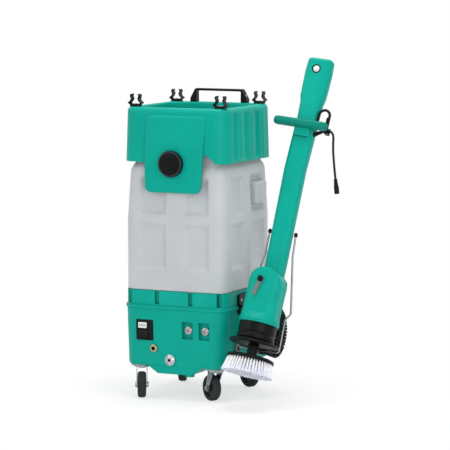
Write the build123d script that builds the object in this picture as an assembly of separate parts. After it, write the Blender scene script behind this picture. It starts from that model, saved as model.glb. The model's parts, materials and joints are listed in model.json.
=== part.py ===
from build123d import *
import math
import os

os.makedirs("parts", exist_ok=True)

# Cart body, millimetres, front towards -Y, floor at zero before the last shift
TANK_W = 340.0
TANK_D = 350.0
CORNER_R = 42.0
WHEEL_R = 40.0
CASTER_ROOM = 22.0
BASE_BOTTOM = 2 * WHEEL_R + CASTER_ROOM
BASE_H = 186.0
BELT_Z = BASE_BOTTOM + BASE_H
COLLAR_H = 46.0
BASE_TOP = BELT_Z + COLLAR_H
BASE_DRAFT = 5.0
BASE_OVER = 3.0
BASE_W = TANK_W + 2 * BASE_OVER
BASE_D = TANK_D + 2 * BASE_OVER
BASE_WALL = 5.0
BASE_DECK = 8.0
BELT_H = 9.0
BELT_PROUD = 3.0
BASE_EDGE_R = 6.0
COLLAR_STEP = 2.0
BELLY_DROP = 22.0
BELLY_TOP_W = 190.0
BELLY_FLAT_W = 112.0
DRAIN_BOSS_R = 14.0
GROOVE_W = 14.0
GROOVE_DEPTH = 5.0
GROOVE_X = (-150.0, -56.0, 56.0, 150.0)
SIDE_GROOVE_Y = (-56.0, 56.0)
LUG = (9.0, 70.0, 26.0)
LUG_R = 6.0
DRAIN_AT = (46.0, 15.0)
DRAIN_DROP = 6.0

# Translucent tank
TANK_WALL = 4.0
TAPER_START_Z = BASE_TOP + 226.0
TAPER_END_Z = TAPER_START_Z + 140.0
TANK_TAPER = 8.0
NECK_Z = TAPER_END_Z + 24.0
NECK_STEP = 14.0
TANK_TOP = NECK_Z + 48.0
PANEL_DEPTH = 6.0
PANEL_BEVEL = 9.0
PANEL_W = 78.0
PANEL_X = 69.0
PANEL_ROWS = ((BASE_TOP + 73.0, BASE_TOP + 190.0), (BASE_TOP + 232.0, BASE_TOP + 342.0))
SIDE_PANEL_W = 84.0
SIDE_PANEL_Y = 66.0
RIB_W = 10.0
RIB_PROUD = 3.0
BOSS = (12.0, 80.0, 68.0)
BOSS_YZ = (78.0, BASE_TOP + 288.0)
BOSS_R = 6.0
TANK_FOOT_R = 5.0

# Upper tank with its tray, skirt and front tongue
SKIRT_Z = NECK_Z + 1.0
LID_H = 165.0
LID_TOP = SKIRT_Z + LID_H
LID_OVER = 4.0
LID_DRAFT = 4.0
LID_WALL = 6.0
LID_EDGE_R = 9.0
TRAY_DEPTH = 30.0
TRAY_FLOOR = 6.0
TRAY_RIM = 24.0
TRAY_REAR_RIM = 38.0
TRAY_CORNER_R = 60.0
TONGUE_W = 196.0
TONGUE_TAPER = 5.0
TONGUE_TOP = LID_TOP - 21.0
TONGUE_H = 235.0
TONGUE_BOTTOM = TONGUE_TOP - TONGUE_H
TONGUE_PROUD = 9.0
TONGUE_CORNER_R = 20.0
TONGUE_EDGE_R = 7.0
NOTCH_X = (108.0, 150.0)
NOTCH_RISE = 26.0
NOTCH_BACK = 30.0
FLUTE_R = 40.0
FLUTE_DEPTH = 4.0
FLUTE_PITCH = 80.0
FLUTE_TOP = LID_TOP - 18.0
LIFT_GAP = 1.0

# Screw cap on the tongue
CAP_Z = TONGUE_BOTTOM + 89.0
CAP_R = 40.0
CAP_THICK = 15.0
CAP_RING = 5.0
CAP_STEM_R = 24.0
CAP_STEM_L = 8.0
CAP_FIT = 0.1
GASKET_T = 2.0
GASKET_R = 33.0

# Tool clips and carry handle
CLIP_AT = 142.0
CLIP_DEPTH = 22.0
CLIP_BASE_W = 31.0
CLIP_BASE_H = 8.0
CLIP_ARM_T = 3.0
CLIP_H = 40.0
HANDLE_OUT = 97.0
HANDLE_BAR = 80.0
HANDLE_H = 42.0
HANDLE_T = 7.0
HANDLE_DEPTH = 24.0
HANDLE_FOOT_W = 21.0
HANDLE_FOOT_H = 11.0
HANDLE_TOP_R = 6.0

# Fittings on the front of the base, as x and z of their centres
SWITCH_XZ = (-97.5, BASE_BOTTOM + 110.0)
SWITCH_SIZE = (56.0, 62.0)
SWITCH_T = 5.0
SWITCH_SINK = 3.0
WINDOW_SIZE = (28.0, 17.0)
WINDOW_OFF = (-7.0, 14.0)
WINDOW_GAP = 0.2
WINDOW_T = 1.6
PANEL_GAP = 1.0
PANEL_R = 4.0
PANEL_EDGE = 0.8
ROCKER_R = 15.0
ROCKER_W = 26.0
ROCKER_DROP = -13.0
ROCKER_GAP = 0.4
ROCKER_PIT = 15.0
ROCKER_PIN_R = 2.0
ROCKER_PIN_L = 2.0
ROCKER_BACK = 8.0
ROCKER_SLOT_H = 24.0
BRASS_XZ = (-66.0, BASE_BOTTOM + 55.0)
BRASS_R = 12.0
BRASS_BORE_R = 6.0
BRASS_OUT = 8.0
BRASS_TAIL_R = 9.0
BRASS_TAIL_L = 20.0
OUTLET_XZ = (-11.5, BASE_BOTTOM + 22.0)
OUTLET_R = 17.0
OUTLET_BORE_R = 5.0
OUTLET_OUT = 10.0
OUTLET_TAIL_R = 12.0
OUTLET_TAIL_L = 8.0
BUTTON_X = (46.0, 102.0)
BUTTON_Z = BASE_BOTTOM + 115.0
POCKET = (36.0, 52.0, 12.0)
BEZEL_WIDE = 4.0
BEZEL_T = 4.5
BUTTON_R = 9.0
BUTTON_OUT = 4.0
BUTTON_TRAVEL = 3.0
BUTTON_FIT = 0.1
STEM_R = 4.0
KEEPER_R = 7.0
KEEPER_T = 2.0
KEEPER_GAP = 0.3

# Right-hand wall: rack plate and charging socket
PLATE_Y = -44.0
PLATE_Z = BELT_Z + 5.0
PLATE_SIZE = (84.0, 60.0)
PLATE_T = 7.0
PLATE_R = 5.0
ARM_DROP = (20.0, 6.0)
SOCKET_YZ = (-88.0, BASE_BOTTOM + 58.0)
SOCKET_SIZE = (30.0, 34.0)
SOCKET_T = 7.0
SOCKET_TAIL_R = 10.0
SOCKET_TAIL_L = 12.0
SOCKET_WELL_R = 7.0
SOCKET_WELL_L = 8.0
SOCKET_R = 4.0
SOCKET_LIFT = 0.6

# Casters
CASTER_X = 125.0
CASTER_Y = 140.0
WHEEL_W = 25.0
TYRE_T = 9.0
CASTER_TRAIL = 24.0
CASTER_PLATE = 50.0
CASTER_PLATE_T = 4.0
FORK_T = 3.0
FORK_GAP = 1.5
BOSS_GAP = 0.3
KINGPIN_R = 8.0
KINGPIN_LIP = 3.0
KINGPIN_HEAD = 5.0
CROWN_R = 26.0
LEG_TOP_W = 34.0
LEG_EYE_R = 10.0
BOLT_R = 8.0
BOLT_H = 4.0
HUB_BOSS_R = 11.0
HUB_WEB = 6.0
HUB_LIP = 4.0
AXLE_R = 5.0
RUN_FIT = 0.08
CROWN_T = 4.0
RACE_GAP = 0.5
CASTERS = {
    "front_left": (-1, -1, 205.0),
    "front_right": (1, -1, 55.0),
    "rear_left": (-1, 1, 20.0),
    "rear_right": (1, 1, 60.0),
}

# Scrubber in its own frame: Z up its axis from the bristle tips, X across, Y back
TOOL_OUT = 90.0
TOOL_Y = -216.0
TOOL_LIFT = 3.0
TOOL_AT = (BASE_W / 2 + TOOL_OUT, TOOL_Y, BASE_BOTTOM + TOOL_LIFT)
LEAN_BACK = 20.6
LEAN_OUT = 5.4
TOOL_YAW = 3.4
BRISTLE_L = 42.0
BRISTLE_SLICE = 3.0
BRUSH_R = 72.0
BRUSH_PLATE_T = 9.0
TIP_FLARE = 1.16
TUFT_R = 2.3
TUFT_RINGS = ((18.0, 12), (28.0, 20), (38.0, 27), (48.0, 33), (58.0, 40), (67.0, 48))
HUB_R = 16.0
SPIGOT_R = 10.0
SPIGOT_L = 6.0
HUB_L = 36.0
HUB_FLARE = 6.0
HUB_GAP = 0.4
DISC_R = 76.0
DISC_T = 14.0
GEARBOX_R = 57.0
GEARBOX_H = 50.0
SHAFT_BORE_R = 10.0
DRIVE_UP = 40.0
HOUSING_W = 107.0
HOUSING_DEPTH = 98.0
HOUSING_SKIRT = 122.0
HOUSING_TOP = 323.0
HOUSING_R = 30.0
SKIRT_LIP = 9.0
SKIRT_FLARE = 30.0
MOTOR_R = 42.0
MOTOR_H = 88.0
MOTOR_FIT = 1.5
PIVOT_Z = 293.0
PIVOT_Y = 30.0
PIVOT_R = 7.0
PIN_INSET = 10.0
BARREL_R = 23.0
SLOT_GAP = 0.8
STEM_W = 64.0
STEM_DEPTH = 46.0
STEM_CORNER = 17.0
STEM_LINE = (
    (30.0, 299.0, 64.0),
    (30.0, 350.0, 64.0),
    (17.0, 500.0, 64.0),
    (4.0, 640.0, 66.0),
    (12.0, 800.0, 68.0),
)
HEAD_LINE = ((66.0, 800.0), (70.0, 852.0), (80.0, 876.0), (84.0, 950.0), (79.0, 996.0))
HEAD_EDGE_R = 11.0
HANG_HOLE = (-4.0, 960.0, 13.0)
EAR_T = 5.0
EAR_H = 16.0
EAR_GAP = 1.0
CROSS_L = 172.0
CROSS_H = 24.0
CROSS_DEPTH = 34.0
CROSS_Z = 779.0
CROSS_X = -6.0
CROSS_EDGE_R = 9.0
SADDLE_H = 48.0
SADDLE_DROP = 12.0
TRIGGER_W = 20.0
TRIGGER_T = 5.0
TRIGGER_TOP = 898.0
TRIGGER_L = 62.0
TRIGGER_OFF = 17.0
TRIGGER_PIN_R = 4.0
LEVER_X = -8.0
LEVER_Z = 284.0
LEVER_LEAN = 14.0
LEVER_GAP = 0.4
SPINDLE_R = 4.0
SPINDLE_L = 8.0
LEVER_L = 52.0
LEVER_W = 13.0
LEVER_T = 4.0
KNOB_R = 9.0
KNOB_H = 9.0
HOOK_T = 4.0
HOOK_W = 12.0
HOOK_INSET = 9.0
HOOK_DROP = 16.0
HOOK_RISE = 34.0
HOOK_REACH = 30.0
HOOK_LIP = 22.0
GLAND_Z = 758.0
GLAND_L = 26.0
GLAND_R = 8.0
GLAND_LIP = 5.0
GLAND_SINK = 1.4
GLAND_BACK = 15.0
GLAND_DIR = (0.9, 0.0, 0.43)
CORD_D = 7.0
CORD_RISE = 20.0
CORD_HANG = ((17.0, 3.0, -11.0), (-4.0, 3.0, -38.0), (4.0, -2.0, -50.0), (6.0, -1.0, -48.0))
CORD_SHARE = 0.45
CONNECTOR_D = 15.0
CONNECTOR_L = 46.0
CONNECTOR_GRIP = 26.0
CONNECTOR_WALL = 2.5
CONNECTOR_WELL = 12.0

# Wire rack and spare brush
WIRE_R = 3.0
RACK_TOP_X = 42.0
RACK_TOP_Y = 24.0
RACK_TOP_Z = 448.0
RACK_BEND_X = 44.0
RACK_BEND_Y = 36.0
RACK_BEND_Z = 380.0
RACK_KNEE_X = 72.0
RACK_KNEE_Y = 58.0
RACK_KNEE_Z = 212.0
RACK_NECK_X = 62.0
RACK_NECK_Z = 190.0
RACK_SEAT_X = 66.0
RACK_SEAT_Y = 46.0
RACK_BEND = 9.0
SEAT_GAP = 0.3
RACK_CAP_R = 5.5
RACK_CAP_L = 8.0
ARM_LEAD = 26.0
ARM_BEND = 12.0
SPARE_YZ = (43.0, BASE_BOTTOM + 94.0)
SPARE_PEG_R = 9.0
SPARE_PEG_L = 22.0
SPARE_TAIL_R = 6.0
SPARE_COLLAR = 6.0
SPARE_GAP = 0.3

# Inside the base
BATTERY = (130.0, 110.0, 110.0)
BATTERY_AT = (70.0, 60.0)
TERMINAL = 14.0
TERMINAL_AT = (45.0, 38.0)
PUMP_R = 32.0
PUMP_L = 110.0
PUMP_Y = -10.0
PUMP_NOSE = 30.0
PUMP_FRONT = PUMP_Y - PUMP_NOSE
PORT_L = 14.0
HOSE_R = 8.0
HOSE_BORE = 5.0
CONTROL = (70.0, 26.0, 80.0)
CONTROL_AT = (-118.0, 100.0)

CUT_REACH = 100.0
LID_W = TANK_W + 2 * LID_OVER
LID_D = TANK_D + 2 * LID_OVER


def slab(width, depth, radius, low, high):
    """Upright block with rounded corners between two heights."""
    return extrude(Pos(0, 0, low) * RectangleRounded(width, depth, radius), high - low)


def tapered(stages):
    """Straight-sided loft through rounded rectangles given as width, depth, radius, height."""
    return loft([Pos(0, 0, z) * RectangleRounded(w, d, r) for w, d, r, z in stages], ruled=True)


def block(x, y, z, size_x, size_y, size_z):
    """Box centred on a point."""
    return Pos(x, y, z) * Box(size_x, size_y, size_z)


def disc(x, y, z, radius, length, direction):
    """Cylinder that starts at a point and runs along a direction."""
    plane = Plane((x, y, z), z_dir=direction)
    return extrude(plane * Circle(radius), length)


def turned(points, at, direction):
    """Body of revolution from radius and height points about an axis at a point."""
    profile = make_face(Polyline(*[(r, 0, h) for r, h in points], close=True))
    body = revolve(profile, Axis.Z, 360)
    return Plane(at, z_dir=direction).location * body


def facing(y):
    """Upright plane at a depth that looks to the front."""
    return Plane((0, y, 0), x_dir=(1, 0, 0), z_dir=(0, -1, 0))


def front_y(height):
    """Depth of the drafted front face of the base at a height."""
    return -(BASE_D / 2 - BASE_DRAFT * (BELT_Z - height) / (BELT_Z - BASE_BOTTOM))


def right_x(height):
    """Place of the drafted right face of the base at a height."""
    return BASE_W / 2 - BASE_DRAFT * (BELT_Z - height) / (BELT_Z - BASE_BOTTOM)


def front_cut(x, z, width, height, depth):
    """Box that sinks a pocket into the front face of the base."""
    floor = front_y(z) + depth
    return block(x, floor - CUT_REACH / 2, z, width, CUT_REACH, height)


PLATE_X = right_x(BELT_Z) - 1.0
SOCKET_FACE = right_x(SOCKET_YZ[1])
POCKET_FLOOR = front_y(BUTTON_Z) + POCKET[2]
SWITCH_FLOOR = front_y(SWITCH_XZ[1]) + SWITCH_SINK
WALL_BACK = POCKET_FLOOR + BASE_WALL
BRASS_FACE = front_y(BRASS_XZ[1])
OUTLET_FACE = front_y(OUTLET_XZ[1])
SPARE_FACE = right_x(SPARE_YZ[1])
ROCKER_AXIS = (SWITCH_XZ[0], SWITCH_FLOOR - SWITCH_T + ROCKER_BACK, SWITCH_XZ[1] + ROCKER_DROP)


def base_shell():
    """Solid outside of the base: drafted body, belt, collar, belly, drain boss and lug."""
    low = (BASE_W - 2 * BASE_DRAFT, BASE_D - 2 * BASE_DRAFT, CORNER_R, BASE_BOTTOM)
    belt = (BASE_W, BASE_D, CORNER_R + BASE_OVER, BELT_Z)
    body = tapered([low, belt])
    body = fillet(body.faces().sort_by(Axis.Z)[0].edges(), BASE_EDGE_R)
    rim_r = CORNER_R + BASE_OVER + BELT_PROUD
    rim = slab(BASE_W + 2 * BELT_PROUD, BASE_D + 2 * BELT_PROUD, rim_r, BELT_Z - BELT_H, BELT_Z)
    collar = slab(TANK_W + COLLAR_STEP, TANK_D + COLLAR_STEP, CORNER_R + COLLAR_STEP / 2, BELT_Z, BASE_TOP)
    half_top, half_flat = BELLY_TOP_W / 2, BELLY_FLAT_W / 2
    top_z = BASE_BOTTOM + BASE_WALL - 1
    low_z = BASE_BOTTOM - BELLY_DROP
    left = [(-half_top, top_z), (-half_flat, low_z)]
    outline = Polyline(*left, *[(-x, z) for x, z in reversed(left)], close=True)
    length = BASE_D - 2 * (BASE_DRAFT + COLLAR_STEP)
    belly = extrude(facing(length / 2) * make_face(outline), length)
    drain_y = DRAIN_AT[1] - length / 2
    drain = disc(DRAIN_AT[0], drain_y, low_z - DRAIN_DROP, DRAIN_BOSS_R, 2 * DRAIN_DROP, (0, 0, 1))
    lug_x = -BASE_W / 2 - LUG[0] / 2 + BASE_WALL / 2
    lug = block(lug_x, 0, BELT_Z - LUG[2] / 2 - 1, LUG[0] + BASE_WALL, LUG[1], LUG[2])
    lug = fillet(lug.edges().filter_by(Axis.X), LUG_R)
    return body + rim + collar + belly + drain + lug


def base_cavity():
    """Room inside the base, less the walls round the pockets, panel and plate."""
    wall = BASE_WALL
    inset = 2 * (wall + BASE_OVER)
    low = 2 * (BASE_DRAFT + wall)
    room = tapered(
        [
            (BASE_W - low, BASE_D - low, CORNER_R - wall, BASE_BOTTOM + wall),
            (BASE_W - inset, BASE_D - inset, CORNER_R - wall, BASE_TOP - BASE_DECK),
        ]
    )
    for x in BUTTON_X:
        room -= front_cut(x, BUTTON_Z, POCKET[0] + 2 * wall, POCKET[1] + 2 * wall, POCKET[2] + wall)
    panel = (SWITCH_SIZE[0] + 2 * wall, SWITCH_SIZE[1] + 2 * wall)
    room -= front_cut(*SWITCH_XZ, *panel, SWITCH_SINK + ROCKER_PIT + wall)
    room -= block(PLATE_X, PLATE_Y, PLATE_Z, 4 * wall, PLATE_SIZE[0] + 2 * wall, PLATE_SIZE[1] + 2 * wall)
    return room


def base_housing():
    """Moulded base: outside less its room, collar grooves, pockets and holes."""
    body = base_shell() - base_cavity()
    groove_z = (BELT_Z + BASE_TOP) / 2 + GROOVE_DEPTH
    groove_h = BASE_TOP - BELT_Z
    for x in GROOVE_X:
        front = -(TANK_D + COLLAR_STEP) / 2
        if abs(x) > TANK_W / 2 - CORNER_R:
            angle = math.acos((abs(x) - TANK_W / 2 + CORNER_R) / CORNER_R)
            front = -(TANK_D / 2 - CORNER_R + CORNER_R * math.sin(angle))
        body -= block(x, front, groove_z, GROOVE_W, 2 * GROOVE_DEPTH, groove_h)
    for y in SIDE_GROOVE_Y:
        left = -(TANK_W + COLLAR_STEP) / 2
        body -= block(left, y, groove_z, 2 * GROOVE_DEPTH, GROOVE_W, groove_h)
    for x in BUTTON_X:
        body -= front_cut(x, BUTTON_Z, *POCKET)
        body -= disc(x, POCKET_FLOOR - 1, BUTTON_Z, STEM_R + BUTTON_FIT, BASE_WALL + 2, (0, 1, 0))
    body -= front_cut(*SWITCH_XZ, SWITCH_SIZE[0] + PANEL_GAP, SWITCH_SIZE[1] + PANEL_GAP, SWITCH_SINK)
    pit_w = ROCKER_W + 2 * ROCKER_GAP
    body -= block(ROCKER_AXIS[0], SWITCH_FLOOR, ROCKER_AXIS[2], pit_w, 2 * ROCKER_PIT, 2 * ROCKER_R)
    trunnion = pit_w + 2 * ROCKER_PIN_L + 1
    body -= disc(ROCKER_AXIS[0] - trunnion / 2, *ROCKER_AXIS[1:], ROCKER_PIN_R + RUN_FIT, trunnion, (1, 0, 0))
    through = 6 * BASE_WALL
    body -= disc(BRASS_XZ[0], BRASS_FACE - through / 3, BRASS_XZ[1], BRASS_TAIL_R, through, (0, 1, 0))
    body -= disc(OUTLET_XZ[0], OUTLET_FACE - through / 3, OUTLET_XZ[1], OUTLET_TAIL_R, through, (0, 1, 0))
    body -= block(PLATE_X + 20, PLATE_Y, PLATE_Z, 40, PLATE_SIZE[0] + PANEL_GAP, PLATE_SIZE[1] + PANEL_GAP)
    body -= disc(SOCKET_FACE - through, *SOCKET_YZ, SOCKET_TAIL_R, 2 * through, (1, 0, 0))
    body -= disc(SPARE_FACE - through, *SPARE_YZ, SPARE_TAIL_R, 2 * through, (1, 0, 0))
    body -= disc(BRASS_XZ[0], PUMP_Y, BASE_TOP - BASE_DECK - 1, HOSE_R + RUN_FIT, BASE_DECK + 2, (0, 0, 1))
    return body


def panel_cutter(plane_at, width, low, high, grow):
    """Bevelled recess that narrows inwards from a wall of the tank."""
    middle = (low + high) / 2
    size = (width + 2 * grow, high - low + 2 * grow)
    outer = plane_at(-1.0, middle) * Rectangle(*size)
    inner_size = [s - 2 * PANEL_BEVEL for s in size]
    inner = plane_at(PANEL_DEPTH + grow, middle) * Rectangle(*inner_size)
    return loft([outer, inner])


def tank_panels(grow):
    """All recess cutters of the tank walls, grown outwards for the inner skin."""
    cutters = []
    for low, high in PANEL_ROWS:
        for side in (-1, 1):
            for face in (-1, 1):

                def wall_front(depth, z, side=side, face=face):
                    y = face * (TANK_D / 2 - depth)
                    return Plane((side * PANEL_X, y, z), x_dir=(1, 0, 0), z_dir=(0, face, 0))

                def wall_side(depth, z, side=side, face=face):
                    x = face * (TANK_W / 2 - depth)
                    return Plane((x, side * SIDE_PANEL_Y, z), x_dir=(0, 1, 0), z_dir=(face, 0, 0))

                cutters.append(panel_cutter(wall_front, PANEL_W, low, high, grow))
                cutters.append(panel_cutter(wall_side, SIDE_PANEL_W, low, high, grow))
    return cutters


def tank_skin(inset, floor, top):
    """Tank outline moved inwards by a wall: straight body, taper, step and neck."""
    waist = TANK_TAPER + NECK_STEP
    levels = ((0, floor), (0, TAPER_START_Z), (TANK_TAPER, TAPER_END_Z), (waist, NECK_Z), (waist, top))
    stages = []
    for drawn_in, z in levels:
        shrink = 2 * (inset + drawn_in)
        stages.append((TANK_W - shrink, TANK_D - shrink, CORNER_R - inset, z))
    return tapered(stages)


def solution_tank():
    """Translucent open-topped tank with recessed panels and a stepped neck."""
    outer = tank_skin(0, BASE_TOP, TANK_TOP)
    outer = fillet(outer.faces().sort_by(Axis.Z)[0].edges(), TANK_FOOT_R)
    inner = tank_skin(TANK_WALL, BASE_TOP + TANK_WALL, TANK_TOP + 1)
    outer -= tank_panels(0)
    inner -= tank_panels(TANK_WALL)
    low = PANEL_ROWS[0][0]
    rib = block(TANK_W / 2, 0, (low + TAPER_START_Z) / 2, 2 * RIB_PROUD, RIB_W, TAPER_START_Z - low)
    boss = block(TANK_W / 2, *BOSS_YZ, 2 * BOSS[0], BOSS[1], BOSS[2])
    boss = fillet(boss.edges().filter_by(Axis.X), BOSS_R)
    body = outer + rib + boss - inner
    body -= disc(BRASS_XZ[0], PUMP_Y, BASE_TOP - 1, HOSE_R + RUN_FIT, TANK_WALL + 2, (0, 0, 1))
    return body


LID_FRONT = -LID_D / 2
TONGUE_FACE = LID_FRONT - TONGUE_PROUD
TONGUE_BACK = -TANK_D / 2 - LIFT_GAP
TRAY_Z = LID_TOP - TRAY_DEPTH
CAP_SEAT = TONGUE_FACE - GASKET_T


def front_tongue():
    """Shield-shaped tongue that hangs down over the front of the tank."""
    half_low, half_top = TONGUE_W / 2 - TONGUE_TAPER, TONGUE_W / 2
    low, high = TONGUE_BOTTOM, TONGUE_TOP
    outline = Polyline((-half_low, low), (half_low, low), (half_top, high), (-half_top, high), close=True)
    shield = fillet(make_face(outline).vertices(), TONGUE_CORNER_R)
    tongue = extrude(facing(TONGUE_BACK) * shield, TONGUE_BACK - TONGUE_FACE)
    return fillet(tongue.faces().sort_by(Axis.Y)[0].edges(), TONGUE_EDGE_R)


def skirt_notch():
    """Cutter for the skirt's swept rise between the tongue and the right corner."""
    x0, x1 = NOTCH_X
    low, high = SKIRT_Z, SKIRT_Z + NOTCH_RISE
    sweep_line = Spline((x0, high), (x1, low), tangents=[(1, 0), (1, 0)])
    back = x0 - NOTCH_BACK
    below = Polyline((x1, low), (x1, low - 5), (back, low - 5), (back, high), (x0, high))
    face = make_face([sweep_line] + below.edges())
    return extrude(facing(LID_FRONT + CORNER_R / 2) * face, CORNER_R)


def upper_tank():
    """Lift-off upper tank: skirt, closed chamber, top tray, flutes and tongue."""
    top = (LID_W - 2 * LID_DRAFT, LID_D - 2 * LID_DRAFT, CORNER_R + LID_DRAFT / 2, LID_TOP)
    low = (LID_W, LID_D, CORNER_R + LID_OVER, SKIRT_Z)
    body = tapered([low, top])
    body = fillet(body.faces().sort_by(Axis.Z)[-1].edges(), LID_EDGE_R)
    inset = 2 * LID_WALL
    skirt_room = slab(LID_W - inset, LID_D - inset, CORNER_R + LID_OVER - LID_WALL, SKIRT_Z - 1, TANK_TOP)
    inset = 2 * (LID_WALL + LID_DRAFT)
    room_low, room_high = TANK_TOP + LID_WALL, TRAY_Z - TRAY_FLOOR
    chamber = slab(LID_W - inset, LID_D - inset, CORNER_R - LID_WALL, room_low, room_high)
    tray_w = LID_W - 2 * LID_DRAFT - 2 * TRAY_RIM
    tray_d = LID_D - 2 * LID_DRAFT - TRAY_RIM - TRAY_REAR_RIM
    tray_y = (TRAY_RIM - TRAY_REAR_RIM) / 2
    tray = Pos(0, tray_y, 0) * slab(tray_w, tray_d, TRAY_CORNER_R, TRAY_Z, LID_TOP + 1)
    body = body - skirt_room - chamber - tray - skirt_notch()
    for side in (-1, 1):
        x = side * (LID_W / 2 + FLUTE_R - FLUTE_DEPTH)
        lean = (-side * LID_DRAFT, 0, LID_TOP - SKIRT_Z)
        for index in (-1, 0, 1):
            body -= disc(x, index * FLUTE_PITCH, SKIRT_Z - 1, FLUTE_R, FLUTE_TOP - SKIRT_Z, lean)
    body += front_tongue()
    body -= disc(0, TONGUE_FACE - 1, CAP_Z, CAP_STEM_R + CAP_FIT, CAP_STEM_L + 1.5, (0, 1, 0))
    return body


def screw_cap():
    """Domed cap with a rim ring and a plug that turns in the tongue."""
    rim = CAP_R - CAP_RING
    points = [
        (0, CAP_THICK),
        (rim / 2, CAP_THICK - 0.8),
        (rim - 4, CAP_THICK - 3),
        (rim - 2, CAP_THICK - 4.5),
        (rim, CAP_THICK - 3),
        (CAP_R - 1.5, CAP_THICK - 4),
        (CAP_R, CAP_THICK - 7),
        (CAP_R, 0),
        (CAP_STEM_R, 0),
        (CAP_STEM_R, -CAP_STEM_L),
        (0, -CAP_STEM_L),
    ]
    return turned(points, (0, CAP_SEAT, CAP_Z), (0, -1, 0))


def cap_gasket():
    """Flat ring between the cap and the tongue."""
    ring = extrude(Circle(GASKET_R) - Circle(CAP_STEM_R + 0.5), GASKET_T)
    return Plane((0, TONGUE_FACE, CAP_Z), z_dir=(0, -1, 0)).location * ring


def tool_clip(x, y):
    """Spring clip: base puck and two S-shaped arms, open upwards."""
    half = CLIP_BASE_W / 2
    profile = Pos(0, CLIP_BASE_H / 2) * Rectangle(CLIP_BASE_W, CLIP_BASE_H)
    arm_points = (
        (half - 4, CLIP_BASE_H - 3),
        (half + 5.5, CLIP_BASE_H + 3),
        (half - 1.5, CLIP_BASE_H + 9),
        (half - 4.5, CLIP_H - 16),
        (half - 1.0, CLIP_H - 8),
        (half - 4.0, CLIP_H - 2),
    )
    for side in (-1, 1):
        profile += trace(Polyline(*[(side * px, pz) for px, pz in arm_points]), CLIP_ARM_T)
    return Pos(x, 0, LID_TOP) * extrude(facing(y + CLIP_DEPTH / 2) * profile, CLIP_DEPTH)


def carry_handle():
    """Strap handle with legs that widen to their feet on the rear rim."""
    outer = [(HANDLE_OUT, 0), (HANDLE_OUT, HANDLE_FOOT_H), (HANDLE_BAR, HANDLE_H)]
    inner = [(HANDLE_BAR - HANDLE_T / 2, HANDLE_H - HANDLE_T), (HANDLE_OUT - HANDLE_FOOT_W, 0)]
    right = outer[::-1] + inner[::-1]
    left = [(-x, z) for x, z in outer]
    profile = make_face(Polyline(*left, *right, *[(-x, z) for x, z in inner], close=True))
    handle = Pos(0, 0, LID_TOP) * extrude(facing(HANDLE_Y + HANDLE_DEPTH / 2) * profile, HANDLE_DEPTH)
    return fillet(handle.edges().filter_by(Axis.Y).group_by(Axis.Z)[-1], HANDLE_TOP_R)


HANDLE_Y = LID_D / 2 - LID_DRAFT - LID_EDGE_R - HANDLE_DEPTH / 2 + 1


def switch_panel():
    """Black panel with a sunk window and a slot for the rocker."""
    x, z = SWITCH_XZ
    face = SWITCH_FLOOR - SWITCH_T
    body = block(x, SWITCH_FLOOR - SWITCH_T / 2, z, SWITCH_SIZE[0], SWITCH_T, SWITCH_SIZE[1])
    body = fillet(body.edges().filter_by(Axis.Y), PANEL_R)
    body = chamfer(body.faces().sort_by(Axis.Y)[0].edges(), PANEL_EDGE)
    window = [size + WINDOW_GAP for size in WINDOW_SIZE]
    body -= block(x + WINDOW_OFF[0], face, z + WINDOW_OFF[1], window[0], 2 * WINDOW_T, window[1])
    slot = block(x, face, ROCKER_AXIS[2], ROCKER_W + 2 * ROCKER_GAP, 4 * SWITCH_T, ROCKER_SLOT_H)
    return body - slot


def meter_window():
    """Pale window of the panel, flush with its face."""
    x, z = SWITCH_XZ
    y = SWITCH_FLOOR - SWITCH_T + WINDOW_T / 2
    return block(x + WINDOW_OFF[0], y, z + WINDOW_OFF[1], WINDOW_SIZE[0], WINDOW_T, WINDOW_SIZE[1])


def power_rocker():
    """Rocker key with a shallow V face that tips about its trunnion."""
    x, y, z = ROCKER_AXIS
    left = x - ROCKER_W / 2
    drum = disc(left, y, z, ROCKER_R - 4, ROCKER_W, (1, 0, 0))
    reach = ROCKER_GAP + ROCKER_PIN_L
    pin = disc(left - reach, y, z, ROCKER_PIN_R, ROCKER_W + 2 * reach, (1, 0, 0))
    face = Polyline((-10.6, 9.4), (-6.0, 11.2), (0, 9.6), (6.0, 11.2), (10.6, 9.4), (0, -4.0), close=True)
    plane = Plane((left, y, z), x_dir=(0, 0, 1), z_dir=(1, 0, 0))
    key = extrude(plane * make_face(face), ROCKER_W)
    return key + drum + pin


def brass_coupling():
    """Turned coupling with a flange, a hose bore and a tail inside the wall."""
    nose = BRASS_R - 2
    shoulder = -BASE_WALL - HOSE_R + 2
    tail = -BASE_WALL - BRASS_TAIL_L
    points = [
        (BRASS_BORE_R, BRASS_OUT),
        (nose - 1, BRASS_OUT),
        (nose, BRASS_OUT - 1),
        (nose, 6),
        (BRASS_R, 5),
        (BRASS_R, 0),
        (BRASS_TAIL_R, 0),
        (BRASS_TAIL_R, shoulder),
        (HOSE_R, shoulder),
        (HOSE_R, tail),
        (BRASS_BORE_R, tail),
    ]
    return turned(points, (BRASS_XZ[0], BRASS_SEAT, BRASS_XZ[1]), (0, -1, 0))


def seat_y(height, radius):
    """Front plane just clear of the drafted face around a fitting."""
    return front_y(height + radius) - 0.05


BRASS_SEAT = seat_y(BRASS_XZ[1], BRASS_R)
OUTLET_SEAT = seat_y(OUTLET_XZ[1], OUTLET_R)


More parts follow.
